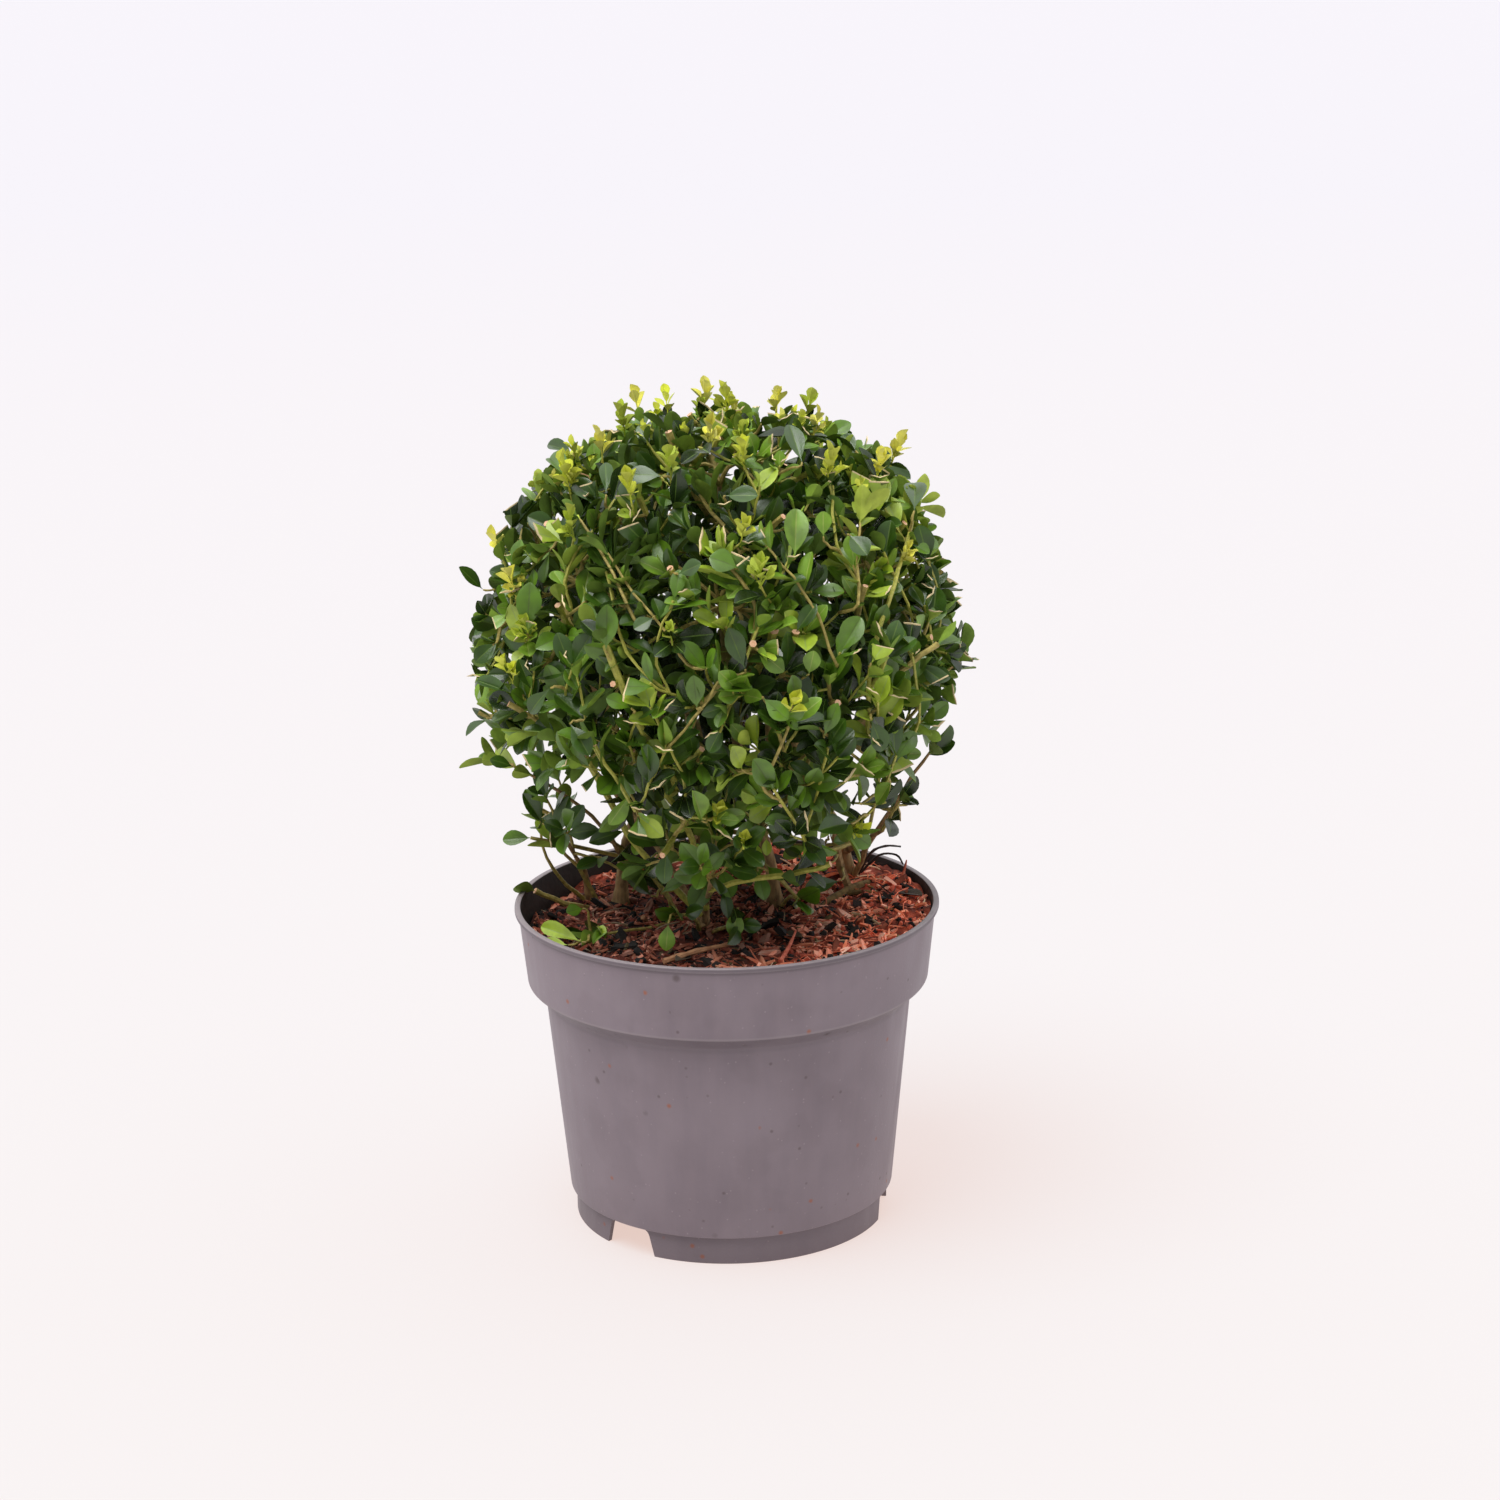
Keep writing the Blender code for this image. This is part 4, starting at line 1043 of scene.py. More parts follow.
class Limb:
    """A stem or bough: its path, its radii at foot and tip, and the mass that it carries."""

    def __init__(self, name, path, foot_radius, tip_radius, mass):
        self.name, self.path, self.mass = name, path, mass
        self.foot_radius, self.tip_radius = foot_radius, tip_radius
        self.length = path_length(path)
        self.tip = path[-1]
        self.tip_direction = (path[-1] - path[-2]).normalized()

    def radius_at(self, distance):
        return self.foot_radius + (self.tip_radius - self.foot_radius) * distance / self.length


def grow_limbs():
    limbs = {}
    for name, way, mass in STEMS:
        x, y = way[0]
        points = [Vector((x, y, soil_height(x, y)))] + [Vector(p) for p in way[1:]]
        tip, outward = tip_for(mass, points[-1])
        points += [tip - outward * STRAIGHT_TIP, tip]
        share = LOW_STEM_SHARE if "low" in name else 1.0
        path = smooth_path(points, STEM_STEPS)
        limbs[name] = Limb(name, path, STEM_FOOT_RADIUS * share, STEM_TIP_RADIUS * share, mass)
    for mass, parent, height in BOUGHS:
        path = limbs[parent].path
        index = next(i for i, place in enumerate(path) if place.z > height)
        low, high = path[index - 1], path[index]
        start = low.lerp(high, (height - low.z) / (high.z - low.z))
        along = (high - low).normalized()
        tip, outward = tip_for(mass, start)
        leave = (square_to(tip - start, along) * 0.8 + along * 0.6).normalized()
        pull = (tip - start).length * BOUGH_CURVE
        curve = [bezier(start, start + leave * pull, tip - outward * pull, tip, k / BOUGH_STEPS)
                 for k in range(BOUGH_STEPS + 1)]
        name = "bough_" + mass
        limbs[name] = Limb(name, curve, BOUGH_FOOT_RADIUS, BOUGH_TIP_RADIUS, mass)
    return limbs


LIMBS = grow_limbs()
LIMB_OF = {limb.mass: limb for limb in LIMBS.values()}
print("limbs:", len(LIMBS), "longest", round(max(limb.length for limb in LIMBS.values())), "mm")

# %% [markdown]
# Old holly stems are brown and finely ridged, with swollen joints where side shoots were, and turn
# olive towards their tips. Bump alone would leave a smooth outline. Here each limb is a tube of
# close rings, and every point is moved in or out: ridges up the stem, swellings at the joints, and
# a fluted flare where it leaves the compost.

# %% Wood
WOOD_SIDES = 14
WOOD_RING_STEP = 1.1
FLARE = ((0.0, 1.75), (3.0, 1.35), (8.0, 1.12), (16.0, 1.0))
ROOT_DEPTH = 4.0
JOINT_SPACING = 13.0
JOINT_SWELL = 0.1
JOINT_SHARE = 0.06  # how much of the spacing a joint takes up
FLUTES = 5
FLUTE_DEPTH = 0.22
RIDGE_HEIGHT = 0.2
PIT_DEPTH = 0.09
OLD_BARK = ((108, 84, 52), (188, 156, 110))
YOUNG_BARK = ((110, 98, 48), (164, 150, 80))
BARK_PORES = (176, 152, 118)
BARK_GREENS = (0.165, 0.285)  # from where to where up the plant it turns green, in metres
BARK_STRETCH = 0.3


def flare_at(distance):
    for (near, wide), (far, narrow) in zip(FLARE, FLARE[1:]):
        if distance <= far:
            return wide + (narrow - wide) * (distance - near) / (far - near)
    return 1.0


def bark_radius(limb, distance, turn, rooted):
    """How far the bark stands from the limb's middle at one place."""
    radius = limb.radius_at(min(max(distance, 0.0), limb.length))
    if rooted:
        flare = flare_at(max(distance, 0.0))
        radius *= flare * (1.0 + FLUTE_DEPTH * (flare - 1.0) * math.cos(FLUTES * turn + len(limb.name)))
    seed = len(limb.name) * 7.3
    ridge_place = Vector((math.cos(turn) * 2.2, math.sin(turn) * 2.2, distance * 0.06 + seed))
    pit_place = Vector((math.cos(turn) * 3.0, math.sin(turn) * 3.0, distance * 0.5 + seed))
    ridges = noise.noise(ridge_place) * RIDGE_HEIGHT + noise.noise(pit_place) * PIT_DEPTH
    phase = (distance / JOINT_SPACING) % 1.0
    joint = math.exp(-((phase - 0.5) / JOINT_SHARE) ** 2) * (0.6 + 0.4 * math.cos(turn - distance))
    return radius * (1.0 + JOINT_SWELL * joint) + ridges * min(1.0, radius / 1.6)


def wood_of(limb):
    """One limb as points and faces, sunk into the compost if it is a stem."""
    rooted = limb.name.startswith("stem")
    first = -ROOT_DEPTH if rooted else 0.0
    count = round((limb.length - first) / WOOD_RING_STEP)
    points = []
    across = None
    for k in range(count + 1):
        distance = first + (limb.length - first) * k / count
        ahead, behind = place_at(limb.path, distance + 1.0), place_at(limb.path, max(distance - 1.0, 0.0))
        centre = place_at(limb.path, max(distance, 0.0)) + UP * min(distance, 0.0)
        along = (ahead - behind).normalized() if (ahead - behind).length > 0 else limb.tip_direction
        across = along.orthogonal() if across is None else across
        across = square_to(across, along)
        up = along.cross(across)
        for i in range(WOOD_SIDES):
            turn = math.tau * i / WOOD_SIDES
            out = across * math.cos(turn) + up * math.sin(turn)
            points.append(centre + out * bark_radius(limb, distance, turn, rooted))
    return points, tube_faces(count + 1, WOOD_SIDES)


def bark_finish():
    """Brown and grey at the foot, olive green higher up, with pale pores."""
    material, tree, shader, place = open_finish("bark", (96, 74, 50), 0.78)
    grain = add_group(tree, MOTTLE, stretched(tree, place, BARK_STRETCH), Scale=420.0, Fine_Scale=1600.0)
    pores = add_group(tree, SPECKS, place, Scale=900.0, Share=0.2)
    old, young = (mix_colours(tree, grain.outputs["Mask"], linear(*dark), linear(*light))
                  for dark, light in (OLD_BARK, YOUNG_BARK))
    base = mix_colours(tree, ramp(tree, one_axis(tree, place, "Z"), *BARK_GREENS), old, young)
    base = tinted(tree, base, pores.outputs["Mask"], 0.5, BARK_PORES)
    feed(tree, shader.inputs["Base Color"], base)
    add_bump(tree, shader, grain.outputs["Fine"], 0.5, 0.0003)
    return material


def make_wood():
    """Each stem becomes one piece together with the boughs that leave it."""
    bark = bark_finish()
    total = 0
    for name, _, _ in STEMS:
        group = [name] + ["bough_" + mass for mass, parent, _ in BOUGHS if parent == name]
        points, faces = [], []
        for limb_name in group:
            more_points, more_faces = wood_of(LIMBS[limb_name])
            faces += [tuple(i + len(points) for i in face) for face in more_faces]
            points += more_points
        piece = new_piece("wood_of_" + name, points, faces, [bark], sharp_angle=60.0)
        stand_for(piece, "bark", *group)
        total += triangles_in(piece)
    return total


print("wood:", make_wood(), "triangles")

# %% [markdown]
# A leaf of this holly is small, stiff and blunt. Each half bulges a little, so the midrib lies in
# a shallow groove, and the whole blade arches. Its outline follows one sine curve, skewed towards
# the tip. A flat card with a picture would be lighter, but its edge would show. A blade is a closed
# mesh with a true thickness. A dozen whole ones are made from seeded chance, with some that the
# shears cut across with a dry rim at the cut, small young ones, and plainer ones for the inside of
# the crown, where nobody sees the groove.

# %% Leaf templates
LEAF_STATIONS = (0.12, 0.22, 0.36, 0.52, 0.68, 0.82, 0.93, 0.98)
PLAIN_STATIONS = (0.14, 0.32, 0.58, 0.80, 0.95)
LEAF_STALK = 0.10  # share of the length that is stalk
STALK_WIDTH = 0.09
LEAF_THICK = 0.022  # of its length
RIB_SHARE = 0.06  # of half the blade's width
CUT_RIM = 0.036  # of its length
CUT_CLEAR = 0.08  # the last station keeps this far from a cut
CUT_TURNS = 0.05  # this near to a cut, the blade's rows are slanted
# A leaf's chance ranges: its skew, bluntness and fold, then its curl, arch, twist and slant
GROWN_SHAPE = ((1.12, 1.5), (0.58, 0.80), (0.16, 0.55))
YOUNG_SHAPE = ((1.05, 1.4), (0.75, 0.95), (0.3, 0.8))
LEAF_BENDS = ((0.08, 0.32), (-0.08, 0.22), (-0.3, 0.3), (-0.16, 0.16))
RICH_SIDES = (-1.0, -0.5, -RIB_SHARE, RIB_SHARE, 0.5, 1.0)
PLAIN_SIDES = (-1.0, 0.0, 1.0)
TOP, UNDERSIDE, RIB, RIM = range(4)


def leaf_half_width(t, skew, blunt):
    """Half the blade's width at a share of its length; a whole leaf is 1 wide."""
    along = max(0.0, (t - LEAF_STALK) / (1.0 - LEAF_STALK))
    return max(STALK_WIDTH / 2, 0.5 * math.sin(math.pi * along ** skew) ** blunt)


def leaf_blade(skew, blunt, fold, curl, arch, twist, slant=0.0, cut=None, rich=True):
    """One leaf of length 1 and width 1 along +X, its top towards +Z, with each face's part."""
    sides = RICH_SIDES if rich else PLAIN_SIDES
    stations = [t for t in (LEAF_STATIONS if rich else PLAIN_STATIONS) if cut is None or t < cut - CUT_CLEAR]
    if cut is not None:
        stations += [cut - CUT_RIM, cut]
    points = [Vector((0.0, 0.0, 0.0))]
    for t in stations:
        half = leaf_half_width(t, skew, blunt)
        sag = -arch * t * t
        shift = slant if cut is not None and t > cut - CUT_TURNS else 0.0
        for side in sides:
            lift = half * (fold * abs(side) - curl * side * side + twist * (t - 0.3) * side)
            points.append(Vector((t + shift * side, half * side, sag + lift)))
        points.append(Vector((t, 0.0, sag - LEAF_THICK)))
    row = len(sides) + 1
    faces, parts = [], []

    def add(face, part):
        faces.append(face)
        parts.append(part)

    def strip(j):
        return RIB if rich and j == 2 else TOP

    for j in range(row - 2):
        add((0, 2 + j, 1 + j), strip(j))
    add((0, 1, row), UNDERSIDE)
    add((0, row, row - 1), UNDERSIDE)
    for k in range(len(stations) - 1):
        a, b = row * k, row * (k + 1)
        at_rim = cut is not None and k == len(stations) - 2
        for j in range(1, row - 1):
            add((j + a, j + 1 + a, j + 1 + b, j + b), RIM if at_rim else strip(j - 1))
        add((1 + a, 1 + b, row + b, row + a), RIM if at_rim else UNDERSIDE)
        add((row + a, row + b, row - 1 + b, row - 1 + a), RIM if at_rim else UNDERSIDE)
    end = row * (len(stations) - 1)
    if cut is not None:
        add(tuple(j + end for j in range(1, row + 1)), RIM)
    else:
        tip = len(points)
        points.append(Vector((1.0, 0.0, -arch)))
        for j in range(1, row - 1):
            add((j + end, j + 1 + end, tip), strip(j - 1))
        add((1 + end, tip, row + end), UNDERSIDE)
        add((row + end, tip, row - 1 + end), UNDERSIDE)
    return face_blade_outwards(np.array([tuple(p) for p in points]), faces, parts)


def face_blade_outwards(points, faces, parts):
    """Turn a template's faces round if they point inwards."""
    volume = 0.0
    for face in faces:
        for i in range(1, len(face) - 1):
            volume += np.dot(points[face[0]], np.cross(points[face[i]], points[face[i + 1]]))
    if volume < 0:
        faces = [tuple(reversed(face)) for face in faces]
    return points, faces, parts


def make_blades(count, rich=True, cuts=(None,), young=False):
    """A set of blades that differ by chance."""
    dice = random.Random(f"blades {count} {rich} {young} {cuts}")
    blades = []
    for number in range(count):
        shape = [dice.uniform(*ends) for ends in (YOUNG_SHAPE if young else GROWN_SHAPE) + LEAF_BENDS]
        blades.append(leaf_blade(*shape, cuts[number % len(cuts)], rich))
    return blades


WHOLE_LEAVES = make_blades(12)
CUT_LEAVES = make_blades(6, cuts=(0.48, 0.62, 0.78))
INSIDE_LEAVES = make_blades(5, rich=False)
YOUNG_LEAVES = make_blades(6, rich=False, young=True)
DRY_LEAF = leaf_blade(1.1, 0.9, 1.5, 0.2, 0.7, 1.0, rich=False)
blade_kinds = (WHOLE_LEAVES, CUT_LEAVES, INSIDE_LEAVES, YOUNG_LEAVES)
print("faces in a whole, cut, inside and young leaf:", [len(blades[0][1]) for blades in blade_kinds])

# %% [markdown]
# Leaves are dealt out by spray. Each spray gets one of a few greens: deep and dark ones inside and
# all over, mid greens, fresh ones mostly outside and high up, and now and then one that frost or
# sun has bronzed. The deeper greens inside and low on the ball are partly older leaves and partly
# painted shade. Every green is waxy and wanders a little from place to place. The undersides are
# paler and duller. Twigs are green when thin, olive when older and brown when thick, with pale
# pink wood where the shears cut them.

# %% Greens
LEAF_GREENS = (
    # name, top colour, underside colour, roughness of the top
    ("deep", (32, 52, 12), (82, 106, 40), 0.27),
    ("dark", (51, 80, 16), (102, 128, 48), 0.30),
    ("mid", (84, 118, 25), (124, 152, 54), 0.33),
    ("soft", (110, 145, 40), (146, 168, 66), 0.38),
    ("fresh", (148, 170, 48), (172, 188, 76), 0.42),
    ("bronze", (108, 100, 46), (128, 124, 64), 0.40),
    ("dry", (168, 134, 92), (186, 152, 108), 0.75),
)
DRY = len(LEAF_GREENS) - 1
LEAF_GLOSS = 0.6
YOUNG_GLOSS = 0.4
UNDERSIDE_ROUGHNESS = 0.62
UNDERSIDE_GLOSS = 0.25
PATCH_DARKER, PATCH_LIGHTER = 0.84, 1.13
LEAF_MARKS = (
    # name, colour, roughness, gloss
    ("midrib_dark", (84, 108, 44), 0.4, 0.4),
    ("midrib_light", (142, 162, 78), 0.45, 0.4),
    ("leaf_cut_rim", (212, 192, 148), 0.7, 0.3),
)
YOUNG_GREENS = (
    ("young_lime", (198, 204, 64), (206, 212, 88), 0.5),
    ("young_yellow", (214, 210, 86), (220, 216, 112), 0.5),
    ("young_green", (168, 184, 56), (184, 196, 78), 0.5),
)


def shade(colour, factor):
    return tuple(min(255.0, channel * factor) for channel in colour)


def waxy_finish(name, colour, roughness, specular):
    """A leaf's finish, which wanders from darker to lighter over about a centimetre."""
    return mottled_finish(name, shade(colour, PATCH_DARKER), shade(colour, PATCH_LIGHTER), 110.0, 1500.0,
                          roughness, 0.00012, specular)


def leaf_finishes(greens, specular):
    finishes = []
    for name, top, under, rough in greens:
        finishes.append(waxy_finish("leaf_" + name, top, rough, specular))
        finishes.append(waxy_finish("leaf_" + name + "_underside", under,
                                    UNDERSIDE_ROUGHNESS, UNDERSIDE_GLOSS))
    return finishes


LEAF_FINISHES = leaf_finishes(LEAF_GREENS, LEAF_GLOSS)
RIB_DARK, RIB_LIGHT, CUT_RIM_FINISH = (len(LEAF_FINISHES) + i for i in range(3))
LEAF_FINISHES += [waxy_finish(*mark) for mark in LEAF_MARKS]
YOUNG_FINISHES = leaf_finishes(YOUNG_GREENS, YOUNG_GLOSS)
TWIG_GREEN, TWIG_OLIVE, TWIG_BROWN, CUT_WOOD = range(4)
TWIG_FINISHES = [
    mottled_finish("twig_green", (146, 148, 56), (190, 184, 84), 500.0, 2500.0, 0.5),
    mottled_finish("twig_olive", (134, 120, 58), (182, 164, 88), 450.0, 2500.0, 0.62),
    mottled_finish("twig_brown", (122, 96, 60), (176, 144, 98), 400.0, 2200.0, 0.75),
    mottled_finish("cut_wood", (214, 158, 118), (236, 196, 160), 900.0, 3000.0, 0.7),
]
print("finishes:", len(LEAF_FINISHES), "on leaves,", len(YOUNG_FINISHES), "on young ones")

# %% [markdown]
# Thousands of leaves are joined as they are made: a pile keeps the points, faces and finish
# numbers of everything that was laid on it, and becomes one mesh at the end. Instances would be
# lighter to render, but the exported model drops them.

# %% Piles


class Pile:
    """Points, faces and finishes of many small things that become one piece."""

    def __init__(self):
        self.points, self.faces, self.finish = [], [], []
        self.count = 0

    def add(self, points, faces, finish):
        base = self.count
        self.points.append(points)
        self.count += len(points)
        self.faces += [tuple(i + base for i in face) for face in faces]
        self.finish += finish

    def make(self, name, finishes, slot, nodes, sharp_angle=50.0):
        piece = new_piece(name, np.concatenate(self.points), self.faces, finishes, self.finish, sharp_angle)
        stand_for(piece, slot, *nodes)
        return piece


def place_leaf(pile, blade, root, along, face, length, width, finish_of_part):
    """Lay one leaf on a pile, from its template, with a finish for each of its parts."""
    across = face.cross(along)
    axes = np.array([along * length, across * width, face * length])
    points, faces, parts = blade
    pile.add(points @ axes + np.array(root), faces, [finish_of_part[part] for part in parts])


def leaf_parts(colour):
    """The finish numbers of a leaf's top, underside, midrib and cut rim."""
    return (colour * 2, colour * 2 + 1, RIB_LIGHT if colour > 2 else RIB_DARK, CUT_RIM_FINISH)


def lay_tube(pile, path, radii, sides, finish, end_finish=None):
    """Lay a closed tube on a pile; its far end may have a finish of its own."""
    points, faces = tube(path, radii, sides)
    numbers = [finish] * len(faces)
    if end_finish is not None:
        numbers[-1] = end_finish
    pile.add(np.array([tuple(p) for p in points]), faces, numbers)


# %% [markdown]
# The crown grows by the rule of the solids: targets lie evenly over the ball, each belongs to the
# nearest mass, and a twig runs to it from whatever wood suits it best. Branchlets come first, then
# inner twigs, cut stubs and the many fine shoots that end at the clipped face. Last come runners,
# longer shoots that climb just under the face, so that their wood shows between the leaves. A twig
# bends up towards the light. A leaf that would pass the clipped face grows smaller, or is cut
# there, as the shears would do.

# %% Growing rule
CROWN_SEED = 20
TWIG_KINDS = (
    # name, targets, between which shares of the crown's reach, foot and tip radius in mm
    ("branchlet", 130, 0.78, 0.90, 1.40, 0.80),
    ("inner", 400, 0.40, 0.80, 0.80, 0.45),
    ("stub", 60, 0.92, 0.975, 1.45, 1.25),
    ("shoot", 430, 0.85, 0.965, 0.95, 0.50),
    ("runner", 170, 0.93, 0.985, 1.15, 0.60),
)
LEAVES_ON = {"branchlet": 5, "inner": 6, "stub": 4, "shoot": 7, "runner": 7}
LOWEST_LEAF = {"branchlet": 0.4, "inner": 0.1, "stub": 0.4, "shoot": 0.14, "runner": 0.3, "lone": 0.25}
HUB_TWIG_TIP = 1.05  # radius of a mass's own stem where it ends at the hub
SHORTEST_TWIG = 4.0
TURN_COST = 0.9  # how much dearer a way is for its turn
RISE_GAIN = 0.18  # and how much cheaper for its rise
TWIG_STARTS = (0.35, 0.8)  # shares of the parent's way and of its own
TWIG_ENDS = (0.7, 0.2, 0.3)  # shares of its own way, of outwards and of upwards
TWIG_PULL = 0.34
TWIG_THINNER = 0.92  # than the wood that it leaves
LEAVE_AT = (0.35, 0.65, 0.9)  # where along a twig further ones may leave
RUNNER_LENGTH = (22.0, 38.0)
RUNNER_FROM_BELOW = 14.0
RUNNER_BEND = math.radians(50.0)
RUNNER_DEPTH = 0.93  # of the crown's reach, where a runner comes up
BROWN_FROM, OLIVE_FROM = 1.25, 0.74  # foot radius from which a twig is brown or olive
STUB_BROWN_FROM = 1.9
FREE_OVER_FACE = (0.5, 4.0)  # how far a leaf's tip may pass the clipped face
CELL_OVERLAP = 6.0  # how far leaves may cross into the next mass
LIMB_MARGIN = 0.4
TWIG_STEP = 4.5
TWIG_WOBBLE = 0.45
LEAF_LENGTHS = (10.0, 14.2, 20.5)
LEAF_WIDTH_SHARE = (0.45, 0.58)
LEAF_SPACING = 5.6
SIDE_LEAF_TILT = (36.0, 70.0)
END_LEAF_TILT = (14.0, 46.0)
CUT_SHARE = 0.34
DRY_SHARE = 0.002
OTHER_GREEN_SHARE = 0.2
FREE_SHARE = 0.4  # of the leaves may pass the face further than the rest
SPRAY_GREENS_AND_SHADE = (
    # below this share of the crown's reach: how often each green comes, and how much more on top; deep
    # greens inside and fewer fresh ones low down are partly painted shade
    (0.72, (64, 28, 8, 0, 0, 0), (0, 0, 0, 0, 0, 0)),
    (0.87, (30, 34, 22, 9, 2, 2), (0, 0, 0, 0, 0, 0)),
    (9.99, (22, 31, 26, 13, 6, 1), (0, 0, 0, 10, 9, 0)),
)
SIDE_STRAYS = [Vector(tip) for tip in STRAYS if tip[2] < 300.0]  # those on top are young tufts
DENTS = (
    # a place on the clipped face that is pushed in, by how many mm, over how many degrees
    ((0.0, 0.0, 376.0), 5.5, 34.0),
    ((84.0, 0.0, 342.0), -3.0, 12.0),
    ((104.0, 0.0, 292.0), 5.0, 34.0),
    ((102.0, -4.0, 226.0), 16.0, 13.0),
    ((90.0, -4.0, 200.0), 20.0, 15.0),
    ((-108.0, -4.0, 242.0), 10.0, 6.0),
    ((-90.0, -4.0, 200.0), 18.0, 13.0),
    ((-62.0, 0.0, 362.0), 4.0, 10.0),
    ((-92.0, 30.0, 320.0), 4.0, 16.0),
    ((20.0, 104.0, 290.0), 5.0, 14.0),
    ((-50.0, 96.0, 235.0), 8.0, 12.0),
    ((60.0, 90.0, 232.0), 8.0, 12.0),
)
DENT_WAYS = [(Vector(place) - CROWN_CENTRE, depth, spread) for place, depth, spread in DENTS]


def crown_reach(direction):
    """How far from its centre the clipped crown reaches in one direction."""
    rise = math.degrees(math.asin(max(-1.0, min(1.0, direction.z))))
    reach = CROWN_RADIUS
    reach += TOP_EXTRA * max(0.0, (rise - 50.0) / 40.0)
    reach += LOW_EXTRA * min(1.0, max(0.0, (-rise - 25.0) / 20.0))
    x, y, z = direction
    reach += BUMP * (math.sin(5 * x + 1.0) * math.cos(4 * y + 2.0) + 0.7 * math.sin(6 * z + 3 * x))
    for way, depth, spread in DENT_WAYS:
        away = math.degrees(way.angle(direction)) / spread
        reach -= depth * math.exp(-away * away)
    for tip in SIDE_STRAYS:
        way = tip - CROWN_CENTRE
        reach = max(reach, way.length - STRAY_NARROWS * math.degrees(way.angle(direction)))
    if direction.z < 0:
        reach = min(reach, (CROWN_CENTRE.z - UNDERSIDE_Z) / -direction.z)
    return reach


def even_directions(count):
    """Directions spread evenly over a whole sphere."""
    directions = []
    for i in range(count):
        z = 1.0 - 2.0 * (i + 0.5) / count
        flat = math.sqrt(1.0 - z * z)
        turn = i * math.pi * (3.0 - math.sqrt(5.0))
        directions.append(Vector((flat * math.cos(turn), flat * math.sin(turn), z)))
    return directions


def segment_distance(a, b, c, d):
    """The least distance between the straight pieces a-b and c-d."""
    u, v, w = b - a, d - c, a - c
    uu, uv, vv = u.dot(u), u.dot(v), v.dot(v)
    uw, vw = u.dot(w), v.dot(w)
    across = uu * vv - uv * uv
    s = 0.0 if across < 1e-9 else min(1.0, max(0.0, (uv * vw - vv * uw) / across))
    t = 0.0 if vv < 1e-9 else min(1.0, max(0.0, (uv * s + vw) / vv))
    s = 0.0 if uu < 1e-9 else min(1.0, max(0.0, (uv * t - uw) / uu))
    return (w + u * s - v * t).length


def share_out(place):
    """How far out a place lies, as a share of the crown's reach there, and how high on the ball."""
    from_centre = place - CROWN_CENTRE
    direction = from_centre.normalized()
    return from_centre.length / crown_reach(direction), direction.z


class Space:
    """The part of the crown that one mass keeps to."""

    def __init__(self, name):
        self.site = SITES[name]
        self.planes = []
        for other, place in SITES.items():
            if other != name:
                self.planes.append(((self.site + place) / 2, (place - self.site).normalized()))

    def in_cell(self, point):
        return all((point - middle).dot(away) < CELL_OVERLAP for middle, away in self.planes)

    def beyond_face(self, point):
        """How far a point lies outside the clipped face."""
        from_centre = point - CROWN_CENTRE
        return from_centre.length - crown_reach(from_centre.normalized())

    def above_pot(self, point):
        flat = math.hypot(point.x, point.y)
        return point.z > (POT_HEIGHT + 2.0 if flat > 80.0 else soil_height(point.x, point.y) + 2.0)


def limb_pieces():
    """Every limb as a few straight pieces with a radius, for the clearance test."""
    pieces = []
    for limb in LIMBS.values():
        places = [place_at(limb.path, limb.length * k / 6) for k in range(7)]
        for k in range(6):
            pieces.append((places[k], places[k + 1], limb.radius_at(limb.length * k / 6)))
    return pieces


LIMB_PIECES = limb_pieces()


def clear_of_limbs(a, b, radius):
    for c, d, limb_radius in LIMB_PIECES:
        if segment_distance(a, b, c, d) < radius + limb_radius + LIMB_MARGIN:
            return False
    return True


print("cells:", len(SITES), "limb pieces for the clearance test:", len(LIMB_PIECES))

# %% [markdown]
# A mass grows from its bough's tip. It remembers every place that a further twig could leave, and
# hands out leaves along each new twig: turned by the golden angle from one to the next, wide apart
# below and bunched at the tip. Where growth is youngest, tufts of small bright leaves stand up.

# %% Growth of one mass


